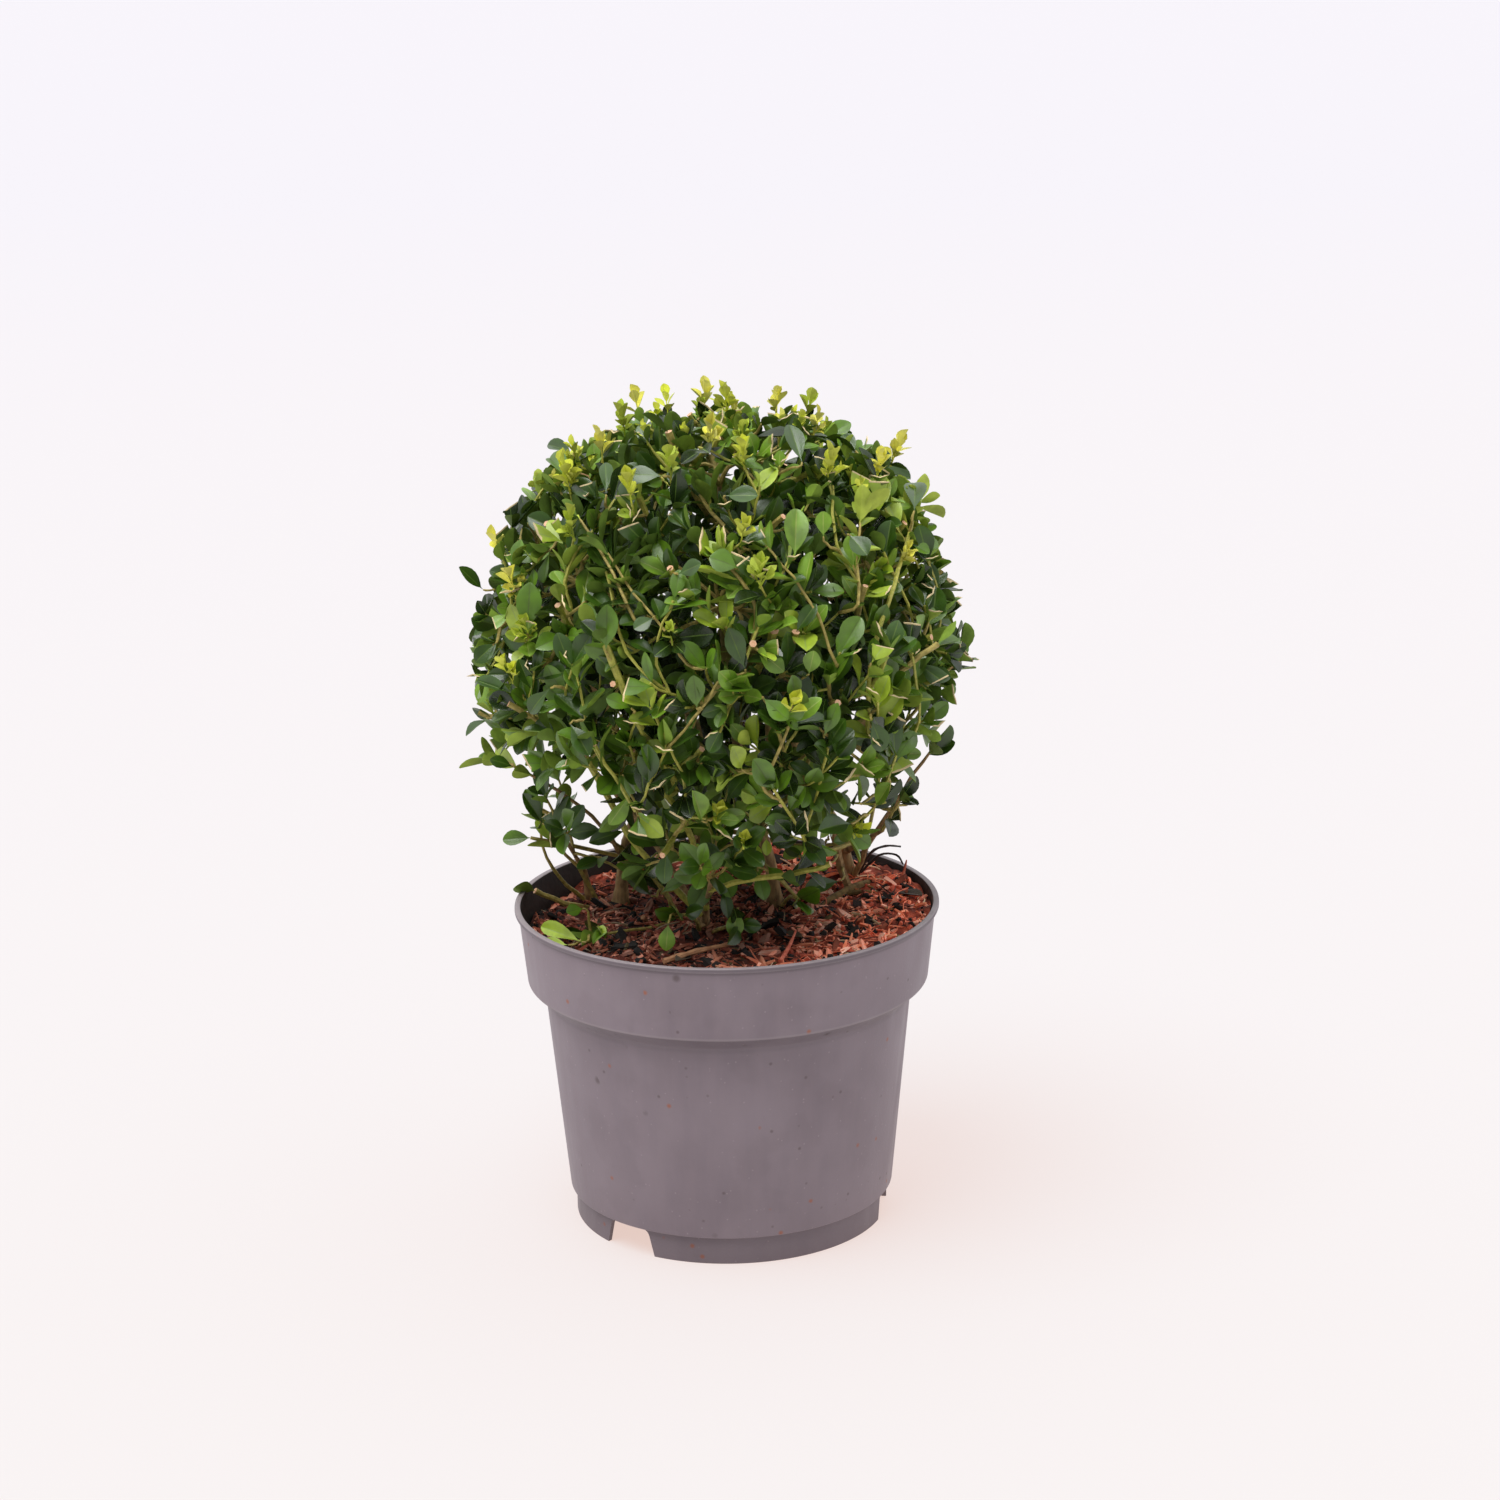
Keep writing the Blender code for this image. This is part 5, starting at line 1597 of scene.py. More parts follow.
class Growth:
    """One mass as it grows: the places that a twig can leave, and piles for what it bears."""

    def __init__(self, name, piles, dice):
        self.piles, self.dice = piles, dice
        self.space = Space(name)
        self.limb = LIMB_OF[name]
        self.hub = SITES[name]
        self.leaves = 0
        self.clipped = True  # listed shoots pass the clipped face and the next mass
        self.grow_stem()

    def grow_stem(self):
        """The mass's own stem goes on from its bough's tip to the hub."""
        tip, hub = self.limb.tip, self.hub
        way = self.limb.tip_direction
        path = [bezier(tip - way, tip + way * 8.0, hub - (hub - tip) * 0.3, hub, k / 5) for k in range(6)]
        foot = self.limb.tip_radius
        radii = [foot + (HUB_TWIG_TIP - foot) * k / 5 for k in range(6)]
        lay_tube(self.piles["twigs"], path, radii, 7, TWIG_BROWN)
        outward = (hub - tip).normalized()
        self.nodes = [(path[k], outward, radii[k]) for k in (1, 2, 3, 4, 5)]

    def best_node(self, target):
        """The place to leave from: near, with little turn, and rather from below."""
        def cost(node):
            place, along, _ = node
            way = target - place
            turn = 1.0 - along.dot(way.normalized())
            return way.length * (1.0 + TURN_COST * turn) * (1.0 - RISE_GAIN * way.normalized().z)
        return min((node for node in self.nodes if (target - node[0]).length > SHORTEST_TWIG), key=cost)

    def grow_twig(self, target, kind, foot, tip_radius):
        """Run a twig to its target from the place that suits it best, and dress it."""
        outward = (target - CROWN_CENTRE).normalized()
        if kind == "runner":
            below = self.place_below(target, outward)
            place, along, thick = self.best_node(below - UP * RUNNER_FROM_BELOW)
            if (below - place).angle(target - below) > RUNNER_BEND:
                return None
            path = smooth_path([place, below, target], 4)
            end = (target - path[-2]).normalized()
            steps = 8
        else:
            place, along, thick = self.best_node(target)
            way = target - place
            ahead = way.normalized()
            start = (along * TWIG_STARTS[0] + ahead * TWIG_STARTS[1]).normalized()
            end = (ahead * TWIG_ENDS[0] + outward * TWIG_ENDS[1] + UP * TWIG_ENDS[2]).normalized()
            pull = way.length * TWIG_PULL
            steps = max(3, min(9, round(way.length / TWIG_STEP)))
            path = [bezier(place, place + start * pull, target - end * pull, target, k / steps)
                    for k in range(steps + 1)]
        if not clear_of_limbs(path[steps // 2], target, foot):
            return None
        foot = max(min(foot, thick * TWIG_THINNER), tip_radius)
        self.lay_twig(path, foot, tip_radius, kind == "stub")
        for share in LEAVE_AT:
            spot = path[round(share * steps)]
            self.nodes.append((spot, (target - spot).normalized() if share < LEAVE_AT[-1] else end,
                               foot + (tip_radius - foot) * share))
        self.grow_leaves(path, kind, LEAVES_ON[kind])
        return end

    def place_below(self, target, outward):
        """Where a runner comes up from: under the face, some way down the ball from its tip."""
        up = UP - outward * outward.z
        aside = up.cross(outward) * self.dice.uniform(-0.7, 0.7)
        below = target - (up + aside).normalized() * self.dice.uniform(*RUNNER_LENGTH)
        direction = (below - CROWN_CENTRE).normalized()
        return CROWN_CENTRE + direction * crown_reach(direction) * RUNNER_DEPTH

    def lay_twig(self, path, foot, tip_radius, cut):
        """The wood of one twig, with slight swellings by chance along it."""
        last = len(path) - 1
        path = [path[0]] + [place + self.wobble() for place in path[1:-1]] + [path[-1]]
        radii = []
        for k in range(last + 1):
            radii.append((foot + (tip_radius - foot) * k / last) * self.dice.uniform(0.94, 1.16))
        finish = TWIG_BROWN if foot > BROWN_FROM else TWIG_OLIVE if foot > OLIVE_FROM else TWIG_GREEN
        if cut:
            finish = TWIG_BROWN if foot > STUB_BROWN_FROM else self.dice.choice((TWIG_OLIVE, TWIG_GREEN))
            radii[-1] *= 1.12
        sides = 6 if foot > 0.7 else 5
        lay_tube(self.piles["twigs"], path, radii, sides, finish, CUT_WOOD if cut else None)

    def wobble(self):
        return Vector([self.dice.uniform(-TWIG_WOBBLE, TWIG_WOBBLE) for axis in range(3)])

    def spray_colour(self, target):
        """Pick a spray's green, by how far out and how high it is; deeper inside and low down, partly as
        painted shade.
        """
        out, high = share_out(target)
        often, more = next((often, more) for limit, often, more in SPRAY_GREENS_AND_SHADE if out < limit)
        weights = [max(0, share + gain * high) for share, gain in zip(often, more)]
        return self.dice.choices(range(len(weights)), weights)[0]

    def grow_leaves(self, path, kind, most):
        """Leaves along a twig, from its tip back, at most so many."""
        dice = self.dice
        target = path[-1]
        along_end = (target - path[-2]).normalized()
        side = along_end.orthogonal().normalized()
        turn = dice.uniform(0, math.tau)
        length = path_length(path)
        distance = length - (dice.uniform(5.0, 9.0) if kind == "stub" else 0.3)
        colour = self.spray_colour(target)
        number = 0
        lowest = LOWEST_LEAF[kind] * length
        while distance > lowest and number < most:
            root = place_at(path, distance)
            ahead = place_at(path, min(length, distance + 1.5))
            behind = place_at(path, max(0.0, distance - 1.5))
            along = (ahead - behind).normalized()
            turn += GOLDEN_ANGLE + dice.uniform(-0.35, 0.35)
            around = Matrix.Rotation(turn, 3, along) @ side
            outward = (root - CROWN_CENTRE).normalized()
            at_end = number < 3 and kind != "stub"
            if kind in ("runner", "lone") and not at_end:
                around = along.cross(outward) * (1 if number % 2 else -1) - outward * dice.uniform(-0.1, 0.5)
            around = square_to(around, along)
            tilt = math.radians(dice.uniform(*(END_LEAF_TILT if at_end else SIDE_LEAF_TILT)))
            blade = along * math.cos(tilt) + around * math.sin(tilt)
            if kind != "runner":
                blade += outward * 0.12
            blade = (blade + UP * dice.uniform(-0.08, 0.2)).normalized()
            face = along * math.sin(tilt) - around * math.cos(tilt) + outward * 0.45 + UP * 0.3
            self.grow_leaf(root, blade, face, colour)
            distance -= LEAF_SPACING * dice.uniform(0.6, 1.35) * (0.22 if at_end else 1.0)
            number += 1

    def grow_leaf(self, root, along, face, colour):
        """One leaf, cut or smaller where it would pass the clipped face."""
        dice = self.dice
        face = square_to(face, along)
        length = dice.triangular(LEAF_LENGTHS[0], LEAF_LENGTHS[2], LEAF_LENGTHS[1])
        width = length * dice.uniform(*LEAF_WIDTH_SHARE)
        if dice.random() < OTHER_GREEN_SHARE:
            colour = max(0, min(4, colour + dice.choice((-1, 1))))
        inside = share_out(root)[0] < 0.66
        blade = dice.choice(INSIDE_LEAVES if inside else WHOLE_LEAVES)
        free = dice.uniform(*FREE_OVER_FACE) if dice.random() < FREE_SHARE else FREE_OVER_FACE[0]
        for attempt in range(3):
            tip = root + along * length
            over = self.space.beyond_face(tip) if self.clipped else 0.0
            in_cell = self.space.in_cell(tip) or not self.clipped
            if over < free and in_cell and self.space.above_pot(tip):
                break
            if over >= free and attempt == 0 and over < length * 0.5 and dice.random() < CUT_SHARE:
                blade = CUT_LEAVES[(0 if over > length * 0.36 else 1 if over > length * 0.2 else 2)
                                   + 3 * dice.randint(0, 1)]
                break
            length *= 0.8
            width *= 0.86
        else:
            return
        if not clear_of_limbs(root + along * 2.0, root + along * length, width * 0.3):
            return
        self.leaves += 1
        if dice.random() < DRY_SHARE:
            blade, colour, length, width = DRY_LEAF, DRY, length * 0.7, width * 0.45
        place_leaf(self.piles["leaves"], blade, root, along, face, length, width, leaf_parts(colour))

    def grow_tuft(self, place, along, size):
        """A young shoot: a bright axis with a few leaves, and shorter ones beside it."""
        dice = self.dice
        side = along.orthogonal().normalized()
        turn = dice.uniform(0, math.tau)
        kind = dice.choices(range(len(YOUNG_GREENS)), (6, 3, 4))[0]
        for branch in range(dice.randint(1, 3)):
            turn += GOLDEN_ANGLE
            away = Matrix.Rotation(turn, 3, along) @ side
            lean = 0.0 if branch == 0 else dice.uniform(0.5, 0.9)
            axis = (along + away * lean + UP * 0.2).normalized()
            self.grow_young_axis(place, axis, size * (1.0 if branch == 0 else dice.uniform(0.55, 0.8)), kind)

    def grow_young_axis(self, place, axis, size, kind):
        """The soft stem of a young shoot, with its leaves spread below and closed at the tip."""
        dice = self.dice
        stem = size * 0.62
        lay_tube(self.piles["young"], [place - axis * 1.5, place + axis * stem], [0.5, 0.32], 4, kind * 2)
        side = axis.orthogonal().normalized()
        turn = dice.uniform(0, math.tau)
        parts = (kind * 2, kind * 2 + 1, kind * 2, kind * 2)
        count = dice.randint(4, 6)
        for number in range(count):
            turn += GOLDEN_ANGLE
            tilt = math.radians(12.0 + 52.0 * number / count + dice.uniform(-10, 10))
            around = Matrix.Rotation(turn, 3, axis) @ side
            blade = axis * math.cos(tilt) + around * math.sin(tilt)
            face = axis * math.sin(tilt) - around * math.cos(tilt)
            length = size * dice.uniform(0.5, 0.7)
            root = place + axis * stem * (1.0 - 0.85 * number / count)
            place_leaf(self.piles["young"], dice.choice(YOUNG_LEAVES), root, blade, face,
                       length, length * dice.uniform(0.55, 0.72), parts)


# %% [markdown]
# Some shoots stand out in the photograph and would not come by chance: the long ones that leave the
# foot of the plant at the left and right, thick stubs on the front that the shears left, shoots
# that climb over the face, and the brightest tufts on top. These are listed one by one, each as a
# path in millimetres that starts at a stem, at the compost or inside the crown. The biggest leaves,
# on the front of the ball and over the compost, get places of their own too. Each grows on a thin
# shoot from the nearest wood.

# %% Shoots placed one by one
LONE_SHOOTS = (
    # path in mm, foot and tip radius, leaves, and True where its end is cut
    (((-46, 24, 156), (-56, 14, 176), (-69, 4, 192), (-84, 0, 204), (-101, -2, 213)), 1.35, 0.5, 6),
    (((-10, -22, 140), (-24, -8, 163), (-40, -5, 186), (-59, -8, 211), (-78, -12, 230)), 1.4, 0.5, 7),
    (((-11, -24, 146), (-27, -20, 163), (-43, -22, 184), (-60, -34, 223)), 1.5, 1.45, 2, True),
    (((-9, -27, 150), (-14, -42, 186), (-24, -56, 211), (-38, -74, 236)), 1.5, 1.4, 2, True),
    (((-47, 25, 162), (-58, 16, 172), (-66, 10, 177), (-84, 5, 188)), 1.05, 0.95, 0, True),
    (((-46, 28, 155), (-54, 25, 160), (-75, 18, 167), (-88, 15, 171)), 1.1, 0.8, 1),
    (((-58, 32, 131), (-64, 27, 147), (-76, 20, 166)), 1.25, 0.75, 3),
    (((-63, 39, 131), (-73, 31, 143), (-82, 27, 158), (-84, 24, 177)), 1.15, 0.5, 4),
    (((-62, 33, 131), (-74, 23, 137), (-87, 18, 145)), 1.3, 1.15, 1, True),
    (((57, 46, 136), (64, 34, 158), (73, 26, 175), (80, 12, 192), (91, -2, 213)), 1.5, 0.6, 3),
    (((57, 27, 138), (52, 22, 152), (50, 18, 163), (46, 12, 182)), 2.1, 1.2, 3),
    (((68, -8, 190), (72, -34, 208), (66, -56, 224), (55, -70, 236), (42, -80, 248)), 1.1, 0.5, 5),
    (((-20, -52, 214), (-27, -74, 232), (-34, -92, 252), (-48, -92, 289)), 1.6, 1.45, 3, True),
    (((-8, -60, 232), (-13, -84, 245), (-8, -99, 262), (2, -104, 274)), 1.4, 1.0, 3, True),
    (((24, -40, 244), (44, -68, 254), (61, -80, 262), (69, -82, 279)), 1.2, 0.9, 5, True),
    (((61, -60, 258), (72, -68, 265), (81, -66, 271), (91, -58, 276)), 1.2, 1.2, 2, True),
    (((10, -56, 262), (18, -80, 276), (22, -94, 292)), 1.7, 1.85, 1, True),
    (((14, -64, 266), (26, -84, 278), (31, -93, 291)), 1.5, 1.6, 1, True),
    (((-8, -18, 330), (-15, -24, 346), (-21, -28, 363)), 1.6, 1.6, 1, True),
    (((-24, 6, 131), (-26, 2, 145), (-33, -3, 158)), 1.2, 1.0, 0, True),
    (((-26, -8, 137), (-42, -20, 138), (-60, -28, 139)), 0.9, 0.6, 5),
    (((-19, -6, 136), (-26, -8, 149), (-34, -9, 160)), 1.1, 0.4, 1),
    (((-12, -22, 138), (-14, -34, 148), (-20, -44, 153)), 1.0, 0.6, 4),
    (((-6, -24, 138), (2, -38, 146), (6, -50, 150)), 1.0, 0.6, 4),
    (((24, 6, 138), (28, -12, 150), (32, -28, 154)), 1.0, 0.6, 4),
    (((61, -80, 245), (62, -80, 272), (70, -67, 296), (78, -43, 313), (86, 8, 323)), 1.15, 0.75, 9, True),
    (((-14, -103, 280), (-23, -98, 294), (-35, -89, 307), (-46, -74, 321)), 0.75, 0.45, 9),
    (((-35, -93, 297), (-44, -81, 314), (-53, -64, 326), (-59, -53, 332)), 0.75, 0.45, 8),
    (((47, -93, 278), (40, -91, 297), (30, -88, 313), (19, -82, 325)), 0.75, 0.45, 8),
    (((57, -81, 299), (57, -71, 315), (59, -56, 330)), 0.75, 0.45, 6),
    (((16, -99, 227), (22, -102, 240), (29, -102, 257)), 0.8, 0.55, 5, True),
    (((62, -76, 226), (50, -90, 241), (40, -97, 251)), 0.8, 0.5, 5, True),
    (((-37, -82, 212), (-46, -86, 229), (-53, -86, 242)), 0.95, 0.75, 4, True),
    (((-19, -104, 249), (-8, -107, 263), (-1, -106, 274)), 0.75, 0.45, 5),
    (((-14, 29, 139), (-15, 26, 153), (-15, 23, 161), (-15, 21, 168)), 2.3, 2.0, 0, True),
    (((-16, 24, 156), (-18, 21, 163), (-20, 20, 167)), 1.5, 1.4, 0, True),
)
TUFT_DIRECTIONS = (
    # azimuth and elevation of the brightest tufts, from the crown's centre
    (155, 69), (176, 78), (111, 80), (7, 88), (34, 73), (23, 67), (-19, 66), (-178, 67), (-173, 54),
    (-153, 58), (-95, 66), (-79, 58), (-109, 55), (8, 46), (-18, 48), (-150, 47), (-120, 47), (-162, 26),
    (-134, 36), (-148, 20), (-84, 37), (-80, 27), (-140, 12), (-145, 1), (-76, -2), (-46, 51),
)
TUFT_SIZES = (10.5, 14.5)
PLACED_LEAVES = (
    # from stalk to tip in mm, width, number of the green, and True where its end is cut
    ((-81, -68, 286), (-79, -68, 307), 11.0, 2),
    ((-47, -95, 285), (-46, -95, 304), 9.5, 2),
    ((31, -86, 321), (32, -77, 339), 10.5, 3),
    ((43, -76, 327), (43, -73, 337), 7.0, 3),
    ((-47, -56, 342), (-47, -44, 355), 6.0, 1),
    ((8, -93, 318), (-3, -95, 324), 11.0, 2),
    ((10, -107, 279), (3, -108, 297), 9.0, 1),
    ((-10, -108, 263), (-11, -112, 278), 8.0, 2),
    ((62, -88, 276), (70, -86, 287), 9.0, 4, True),
    ((35, -49, 353), (30, -33, 366), 8.5, 1),
    ((-63, -34, 344), (-73, -6, 349), 8.0, 2),
    ((-63, -5, 350), (-75, 12, 352), 6.0, 1),
    ((-23, -59, 350), (-38, -58, 352), 8.5, 1),
    ((3, -72, 344), (16, -76, 345), 8.5, 1),
    ((54, -69, 326), (61, -77, 319), 9.0, 1),
    ((-88, -63, 259), (-104, -45, 259), 6.5, 1),
    ((-71, -82, 266), (-82, -78, 254), 7.5, 1),
    ((-63, -88, 252), (-55, -97, 242), 9.0, 1),
    ((17, -107, 267), (27, -110, 258), 9.0, 2),
    ((28, -105, 255), (41, -106, 266), 8.0, 3),
    ((36, -101, 275), (38, -104, 285), 7.5, 3),
    ((30, -104, 265), (29, -109, 277), 7.0, 2),
    ((-9, -95, 211), (-12, -108, 228), 7.5, 3),
    ((8, -105, 236), (5, -113, 248), 8.0, 4),
    ((42, -99, 248), (47, -103, 262), 7.0, 2),
    ((62, -89, 252), (67, -88, 238), 9.0, 1),
    ((57, -78, 213), (56, -93, 229), 8.5, 1),
    ((64, -68, 208), (71, -79, 222), 7.5, 3),
    ((54, -72, 202), (42, -90, 207), 9.5, 1),
    ((83, -27, 327), (85, -1, 338), 10.0, 1),
    ((-17, -93, 316), (-7, -97, 321), 8.0, 1),
    ((-37, -102, 262), (-47, -103, 267), 7.0, 2),
    ((-27, -98, 299), (-35, -102, 296), 6.5, 1),
    ((-103, -12, 292), (-113, -15, 303), 6.5, 1),
    ((-81, -6, 184), (-89, -9, 199), 7.0, 1),
    ((-76, -6, 178), (-69, -9, 197), 8.0, 1),
    ((-93, -8, 211), (-102, -11, 216), 6.0, 1),
    ((85, -8, 192), (78, -11, 195), 6.0, 2),
    ((-6, -30, 167), (-15, -36, 153), 10.5, 2),
    ((-2, -30, 170), (2, -37, 158), 8.8, 2),
    ((-1, -34, 163), (1, -42, 151), 6.0, 1),
    ((5, -48, 157), (3, -56, 147), 8.0, 3),
    ((-2, -34, 194), (-9, -40, 180), 9.0, 2),
    ((7, -28, 180), (-5, -33, 172), 7.5, 1),
    ((18, -28, 184), (7, -33, 184), 6.6, 2),
    ((13, -32, 182), (14, -36, 175), 4.6, 4),
    ((18, -30, 183), (18, -33, 176), 4.6, 4),
    ((-20, -26, 194), (-35, -32, 192), 8.0, 1),
    ((-13, -38, 206), (-10, -44, 195), 7.5, 3),
    ((-2, -38, 204), (2, -44, 196), 7.2, 2),
    ((-23, -20, 177), (-24, -26, 166), 9.4, 2, True),
    ((-33, -20, 154), (-46, -30, 168), 8.6, 1),
    ((-29, -22, 156), (-18, -28, 165), 6.0, 2),
    ((14, -30, 168), (17, -38, 158), 7.4, 2),
    ((18, -26, 169), (25, -32, 164), 6.0, 2),
    ((51, 4, 152), (35, -4, 151), 7.6, 1),
    ((47, 6, 160), (41, 0, 159), 4.4, 3),
    ((56, 4, 170), (48, -2, 172), 7.0, 2),
    ((53, 2, 175), (60, -6, 184), 7.6, 2),
    ((46, 4, 173), (44, -2, 184), 7.6, 2),
    ((-25, -58, 154), (-26, -64, 144), 7.6, 3),
    ((-63, -30, 152), (-70, -34, 152), 6.0, 2),
    ((-56, 8, 163), (-67, 2, 160), 6.6, 1),
    ((-37, -16, 181), (-40, -20, 173), 5.6, 3),
    ((-44, -6, 180), (-60, -12, 178), 8.0, 1),
    ((6, -26, 168), (11, -32, 163), 6.0, 1),
    ((29, -16, 188), (20, -22, 184), 6.4, 1),
    ((-63, -46, 142), (-82, -29, 144), 7.0, 4),
    ((-69, -47, 141), (-82, -40, 141), 5.5, 4),
    ((-53, -28, 142), (-58, -52, 143), 5.0, 3),
    ((-57, -25, 142), (-53, -44, 143), 4.0, 4),
)
ABOVE_COST = 2.0
LEAF_SHOOT_RADII = (0.75, 0.4)
PLACED_FACE = Vector((0.1, -0.8, 0.7))  # the way that the placed leaves face
print("placed by hand:", len(LONE_SHOOTS), "shoots,", len(PLACED_LEAVES), "leaves")


def nearest_wood(wood, place):
    """Where a shoot for this place starts: at the nearest wood, and rather below than above."""
    return min(wood, key=lambda spot: (spot - place).length + ABOVE_COST * max(0.0, spot.z - place.z))


def dress_lone_shoot(growth, wood, points, foot, tip_radius, leaves, cut=False):
    """A shoot along a path. One that starts inside the crown is led back to the nearest wood."""
    points = [Vector(point) for point in points]
    start = nearest_wood(wood, points[0])
    if points[0].z > UNDERSIDE_Z and (points[0] - start).length > 2.0:
        points.insert(0, start)
    path = smooth_path(points, 3)
    growth.lay_twig(path, foot, tip_radius, cut)
    growth.grow_leaves(path, "lone", leaves)
    return path


def hang_leaf(growth, wood, number, root, tip, width, colour, cut=False):
    """A big leaf on a thin shoot of its own, from the nearest wood below it."""
    root, tip = Vector(root), Vector(tip)
    along = (tip - root).normalized()
    start = nearest_wood(wood, root)
    reach = (root - start).length
    path = [bezier(start, start.lerp(root, 0.3) + UP * (reach * 0.15), root - along * reach * 0.3, root,
                   k / 6) for k in range(7)]
    growth.lay_twig(path, *LEAF_SHOOT_RADII, False)
    face = square_to(PLACED_FACE, along)
    blade = CUT_LEAVES[1] if cut else WHOLE_LEAVES[number % len(WHOLE_LEAVES)]
    place_leaf(growth.piles["leaves"], blade, root, along, face, (tip - root).length, width,
               leaf_parts(colour))
    growth.leaves += 1


def dress_by_hand(growth, wood):
    """Add the shoots and leaves that have places of their own."""
    for limb in LIMBS.values():
        wood += [place_at(limb.path, limb.length * k / 20) for k in range(21)]
    for shoot in LONE_SHOOTS:
        wood += dress_lone_shoot(growth, wood, *shoot)
    for number, leaf in enumerate(PLACED_LEAVES):
        hang_leaf(growth, wood, number, *leaf)


# %% [markdown]
# Now the masses are grown, tier by tier, and each tier becomes up to three pieces: leaves, twigs
# and young shoots. One piece would be simpler, but too large to export. Targets that lie under the
# ball or low at its sides are thinned, because the photograph shows sparse shoots there with light
# between them.

# %% Grow the crown
LOW_KEEP = {"low_left": 0.18, "low_front": 0.64, "low_right": 0.28, "low_back": 0.8}
LOW_RUNNERS_KEEP = 0.1
THIN_BELOW = 226.0  # below this height, and this far out to either side, the ball is thinner
THIN_BESIDE = 46.0
THIN_KEEP = 0.12
NEAR_COMPOST = 172.0  # below this height, and nearer to the viewer than this, it is thinned too
NEAR_VIEWER = 20.0
NEAR_COMPOST_KEEP = 0.35
STRAY_SHOOT = (11.0, 0.9, 0.5)  # how far short it ends, foot and tip radius
TUFT_SHOOT = (3.0, 0.85, 0.5)
YOUNG_FROM = 0.86  # of the crown's reach
TIERS = (
    ("top", ("top",)),
    ("upper_front", ("upper_front", "upper_right", "upper_left")),
    ("upper_back", ("upper_back_right", "upper_back_left")),
    ("lower_front", ("lower_front_left", "lower_front_right")),
    ("lower_back", ("lower_right", "lower_back", "lower_left")),
    ("low", ("low_left", "low_front", "low_right", "low_back")),
)


def nearest_mass(place):
    return min(SITES, key=lambda key: (SITES[key] - place).length)


def keep_share(name, place):
    """How many of the targets near a place are kept: fewer low down, fewest at the sides."""
    share = LOW_KEEP.get(name, 1.0)
    if place.z < THIN_BELOW and abs(place.x) > THIN_BESIDE:
        share *= THIN_KEEP
    if place.z < NEAR_COMPOST and place.y < NEAR_VIEWER:
        share *= NEAR_COMPOST_KEEP
    return share


def deal_targets(dice):
    """Spread the twigs' targets over the crown, kind by kind, and give each to the nearest mass."""
    targets = {name: [] for name in SITES}
    for kind, count, low, high, foot, tip_radius in TWIG_KINDS:
        spin = Matrix.Rotation(dice.uniform(0, math.tau), 3, "Z")
        for direction in even_directions(count):
            direction = spin @ direction
            place = CROWN_CENTRE + direction * crown_reach(direction) * dice.uniform(low, high)
            name = nearest_mass(place)
            share = keep_share(name, place)
            if kind == "runner" and is_low(name):
                share *= LOW_RUNNERS_KEEP
            if dice.random() < share:
                targets[name].append((kind, place, foot, tip_radius, False))
    for tip in SIDE_STRAYS:
        short, *radii = STRAY_SHOOT
        place = tip - (tip - CROWN_CENTRE).normalized() * short
        targets[nearest_mass(place)].append(("shoot", place, *radii, False))
    for azimuth, elevation in TUFT_DIRECTIONS:
        direction = mass_direction(azimuth, elevation)
        short, *radii = TUFT_SHOOT
        place = CROWN_CENTRE + direction * (crown_reach(direction) - short)
        targets[nearest_mass(place)].append(("shoot", place, *radii, True))
    return targets


def young_chance(target):
    """How likely a twig ends in a young shoot, by its place on the ball."""
    out, high = share_out(target)
    return 0.06 + 0.5 * max(0.0, high) ** 2 if out > YOUNG_FROM else 0.0


def grow_mass(name, targets, piles):
    dice = random.Random(f"foliage_{name} {CROWN_SEED}")
    growth = Growth(name, piles, dice)
    order = [kind[0] for kind in TWIG_KINDS]
    targets = sorted(targets, key=lambda t: (order.index(t[0]), (t[1] - growth.hub).length))
    for kind, place, foot, tip_radius, tuft in targets:
        end = growth.grow_twig(place, kind, foot, tip_radius)
        if end is not None and (tuft or (kind == "shoot" and dice.random() < young_chance(place))):
            outward = (place - CROWN_CENTRE).normalized()
            along = (end * 0.4 + outward * 0.4 + UP * 0.6).normalized()
            growth.grow_tuft(place, along, dice.uniform(*TUFT_SIZES) * (1.0 if tuft else 0.75))
    return growth


def make_crown():
    targets = deal_targets(random.Random(CROWN_SEED))
    wood = []
    for tier, masses in TIERS:
        piles = {kind: Pile() for kind in ("leaves", "twigs", "young")}
        grown = [grow_mass(name, targets[name], piles) for name in masses]
        wood += [place for growth in grown for place, _, _ in growth.nodes]
        if tier == "low":
            grown[0].clipped = False
            dress_by_hand(grown[0], wood)
        solids = ["foliage_" + name for name in masses]
        made = [piles["leaves"].make("leaves_" + tier, LEAF_FINISHES, "foliage", solids),
                piles["twigs"].make("twigs_" + tier, TWIG_FINISHES, "bark", ())]
        if piles["young"].count:
            made.append(piles["young"].make("young_shoots_" + tier, YOUNG_FINISHES, "foliage", ()))
        leaves = sum(growth.leaves for growth in grown)
        print(tier, leaves, "leaves,", [triangles_in(piece) for piece in made], "triangles")


make_crown()

# %% [markdown]
# A few things lie on the compost that chance would not have put there: a mossy root on the right,
# strips of bark and a red stick at the front, dark twigs and a sliver at the back of the rim, and
# fallen leaves that have gone brown. They are laid one by one with the same tube and leaf as above.

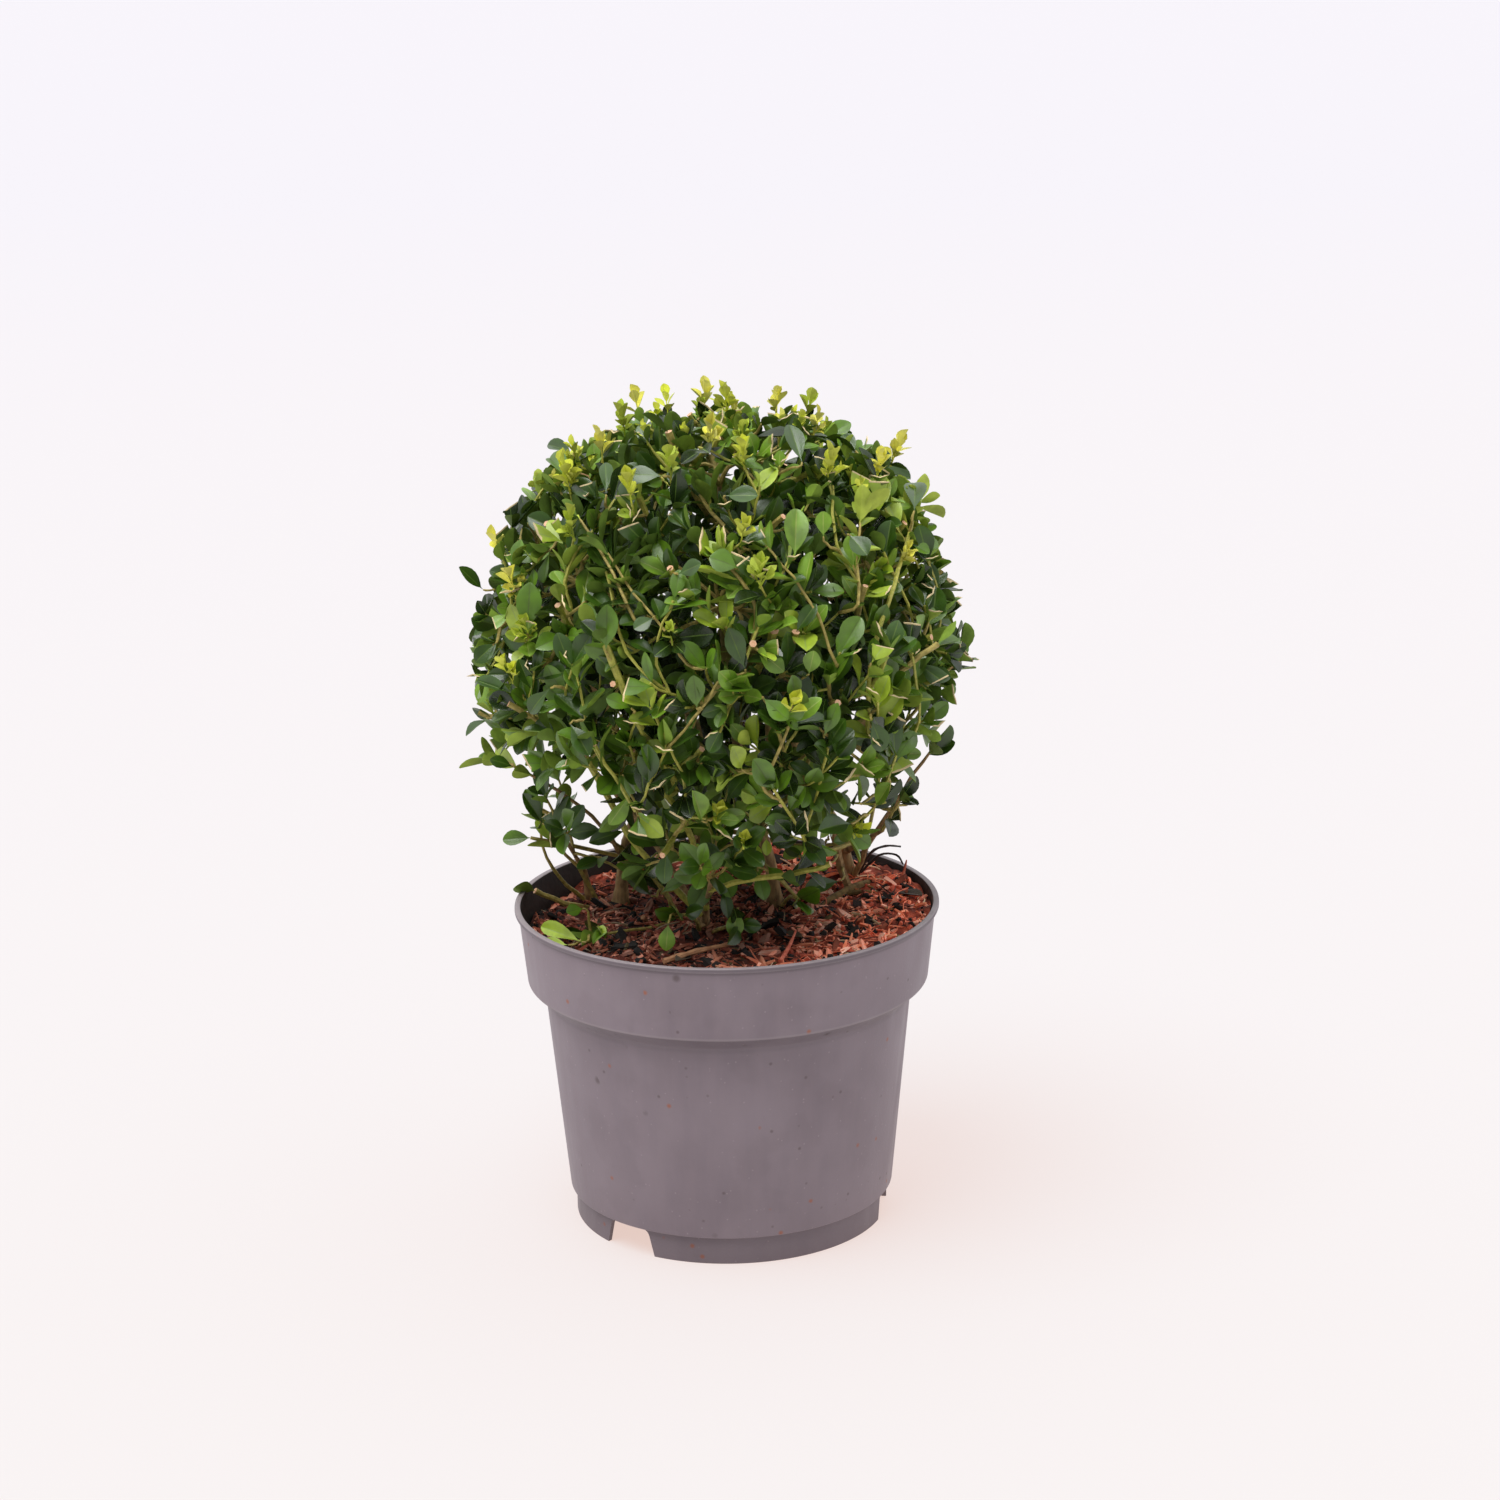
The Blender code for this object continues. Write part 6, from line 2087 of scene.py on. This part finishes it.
# %% Lying on the compost
LYING_FINISHES = (
    # name, dark, light, roughness
    ("mossy_root", (84, 66, 36), (142, 116, 68), 0.9),
    ("strip_of_bark", (142, 94, 62), (190, 142, 104), 0.8),
    ("red_wood", (178, 78, 56), (226, 130, 104), 0.8),
    ("dark_twig", (34, 26, 22), (66, 50, 42), 0.7),
    ("pale_straw", (176, 138, 104), (214, 182, 146), 0.8),
    ("brown_leaf", (62, 52, 42), (92, 78, 64), 0.5),
)
MOSSY, TAN, RED, DARK, STRAW, BROWN_LEAF = range(6)
LYING_WOOD = (
    # path in mm, foot and tip radius, finish
    (((41, 5, 138.5), (57, 24, 142.0), (73, 43, 140.0)), 2.4, 1.6, MOSSY),
    (((50, 20, 139.0), (60, 18, 142.0), (68, 19, 141.0)), 1.5, 0.9, MOSSY),
    (((-27, -69, 140.5), (-13, -62, 142.5), (3, -57, 144.0)), 1.5, 1.0, TAN),
    (((23, -70, 140.0), (27, -59, 143.0), (30, -48, 146.0)), 1.0, 0.6, RED),
    (((79, 36, 139.0), (81, 38, 144.0), (82.5, 39.5, 150.0)), 1.2, 0.3, RED),
    (((60, 47, 140.0), (66, 41, 153.0), (73, 42, 156.0), (80, 44, 155.0)), 0.8, 0.45, DARK),
    (((62, 50, 141.0), (70, 47, 150.0), (78, 44, 151.0), (81, 42, 147.0)), 0.6, 0.4, DARK),
    (((56, -10, 141.0), (63, -21, 142.5), (69, -33, 142.0)), 0.8, 0.4, STRAW),
    (((-36, -5, 134.0), (-36.5, -6.5, 138.0), (-37.5, -9, 140.5)), 1.3, 1.2, TAN),
)
LYING_LEAVES = (
    # from stalk to tip in mm, width, finish
    ((76, 15, 142.5), (88, 7, 142.5), 6.5, BROWN_LEAF),
    ((-14, -60, 139.5), (-22, -71, 140.5), 5.5, BROWN_LEAF),
    ((20, -36, 140.5), (33, -44, 141.0), 6.0, BROWN_LEAF),
)


def lay_things():
    pile = Pile()
    finishes = [mottled_finish(name, dark, light, 260.0, 1400.0, rough)
                for name, dark, light, rough in LYING_FINISHES]
    dice = random.Random(7)
    for points, foot, tip_radius, finish in LYING_WOOD:
        path = smooth_path([Vector(point) for point in points], 4)
        last = len(path) - 1
        radii = [(foot + (tip_radius - foot) * k / last) * dice.uniform(0.8, 1.2) for k in range(last + 1)]
        lay_tube(pile, path, radii, 7, finish)
    for root, tip, width, finish in LYING_LEAVES:
        along = Vector(tip) - Vector(root)
        face = Vector((0.1, -0.2, 1.0))
        face = (face - along * (face.dot(along) / along.length_squared)).normalized()
        place_leaf(pile, WHOLE_LEAVES[3], root, along.normalized(), face, along.length, width, [finish] * 4)
    return triangles_in(pile.make("lying_on_compost", finishes, "soil", ()))


print("lying on the compost:", lay_things(), "triangles")

# %% [markdown]
# Last, the box of the finished model is compared with the box of the solids.

# %% Finish
model_low, model_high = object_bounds()
grown_by = [round((a - b) / MM, 1) for a, b in zip((*model_low, *model_high), (*cad_low, *cad_high))]
print("box grows by mm:", grown_by)
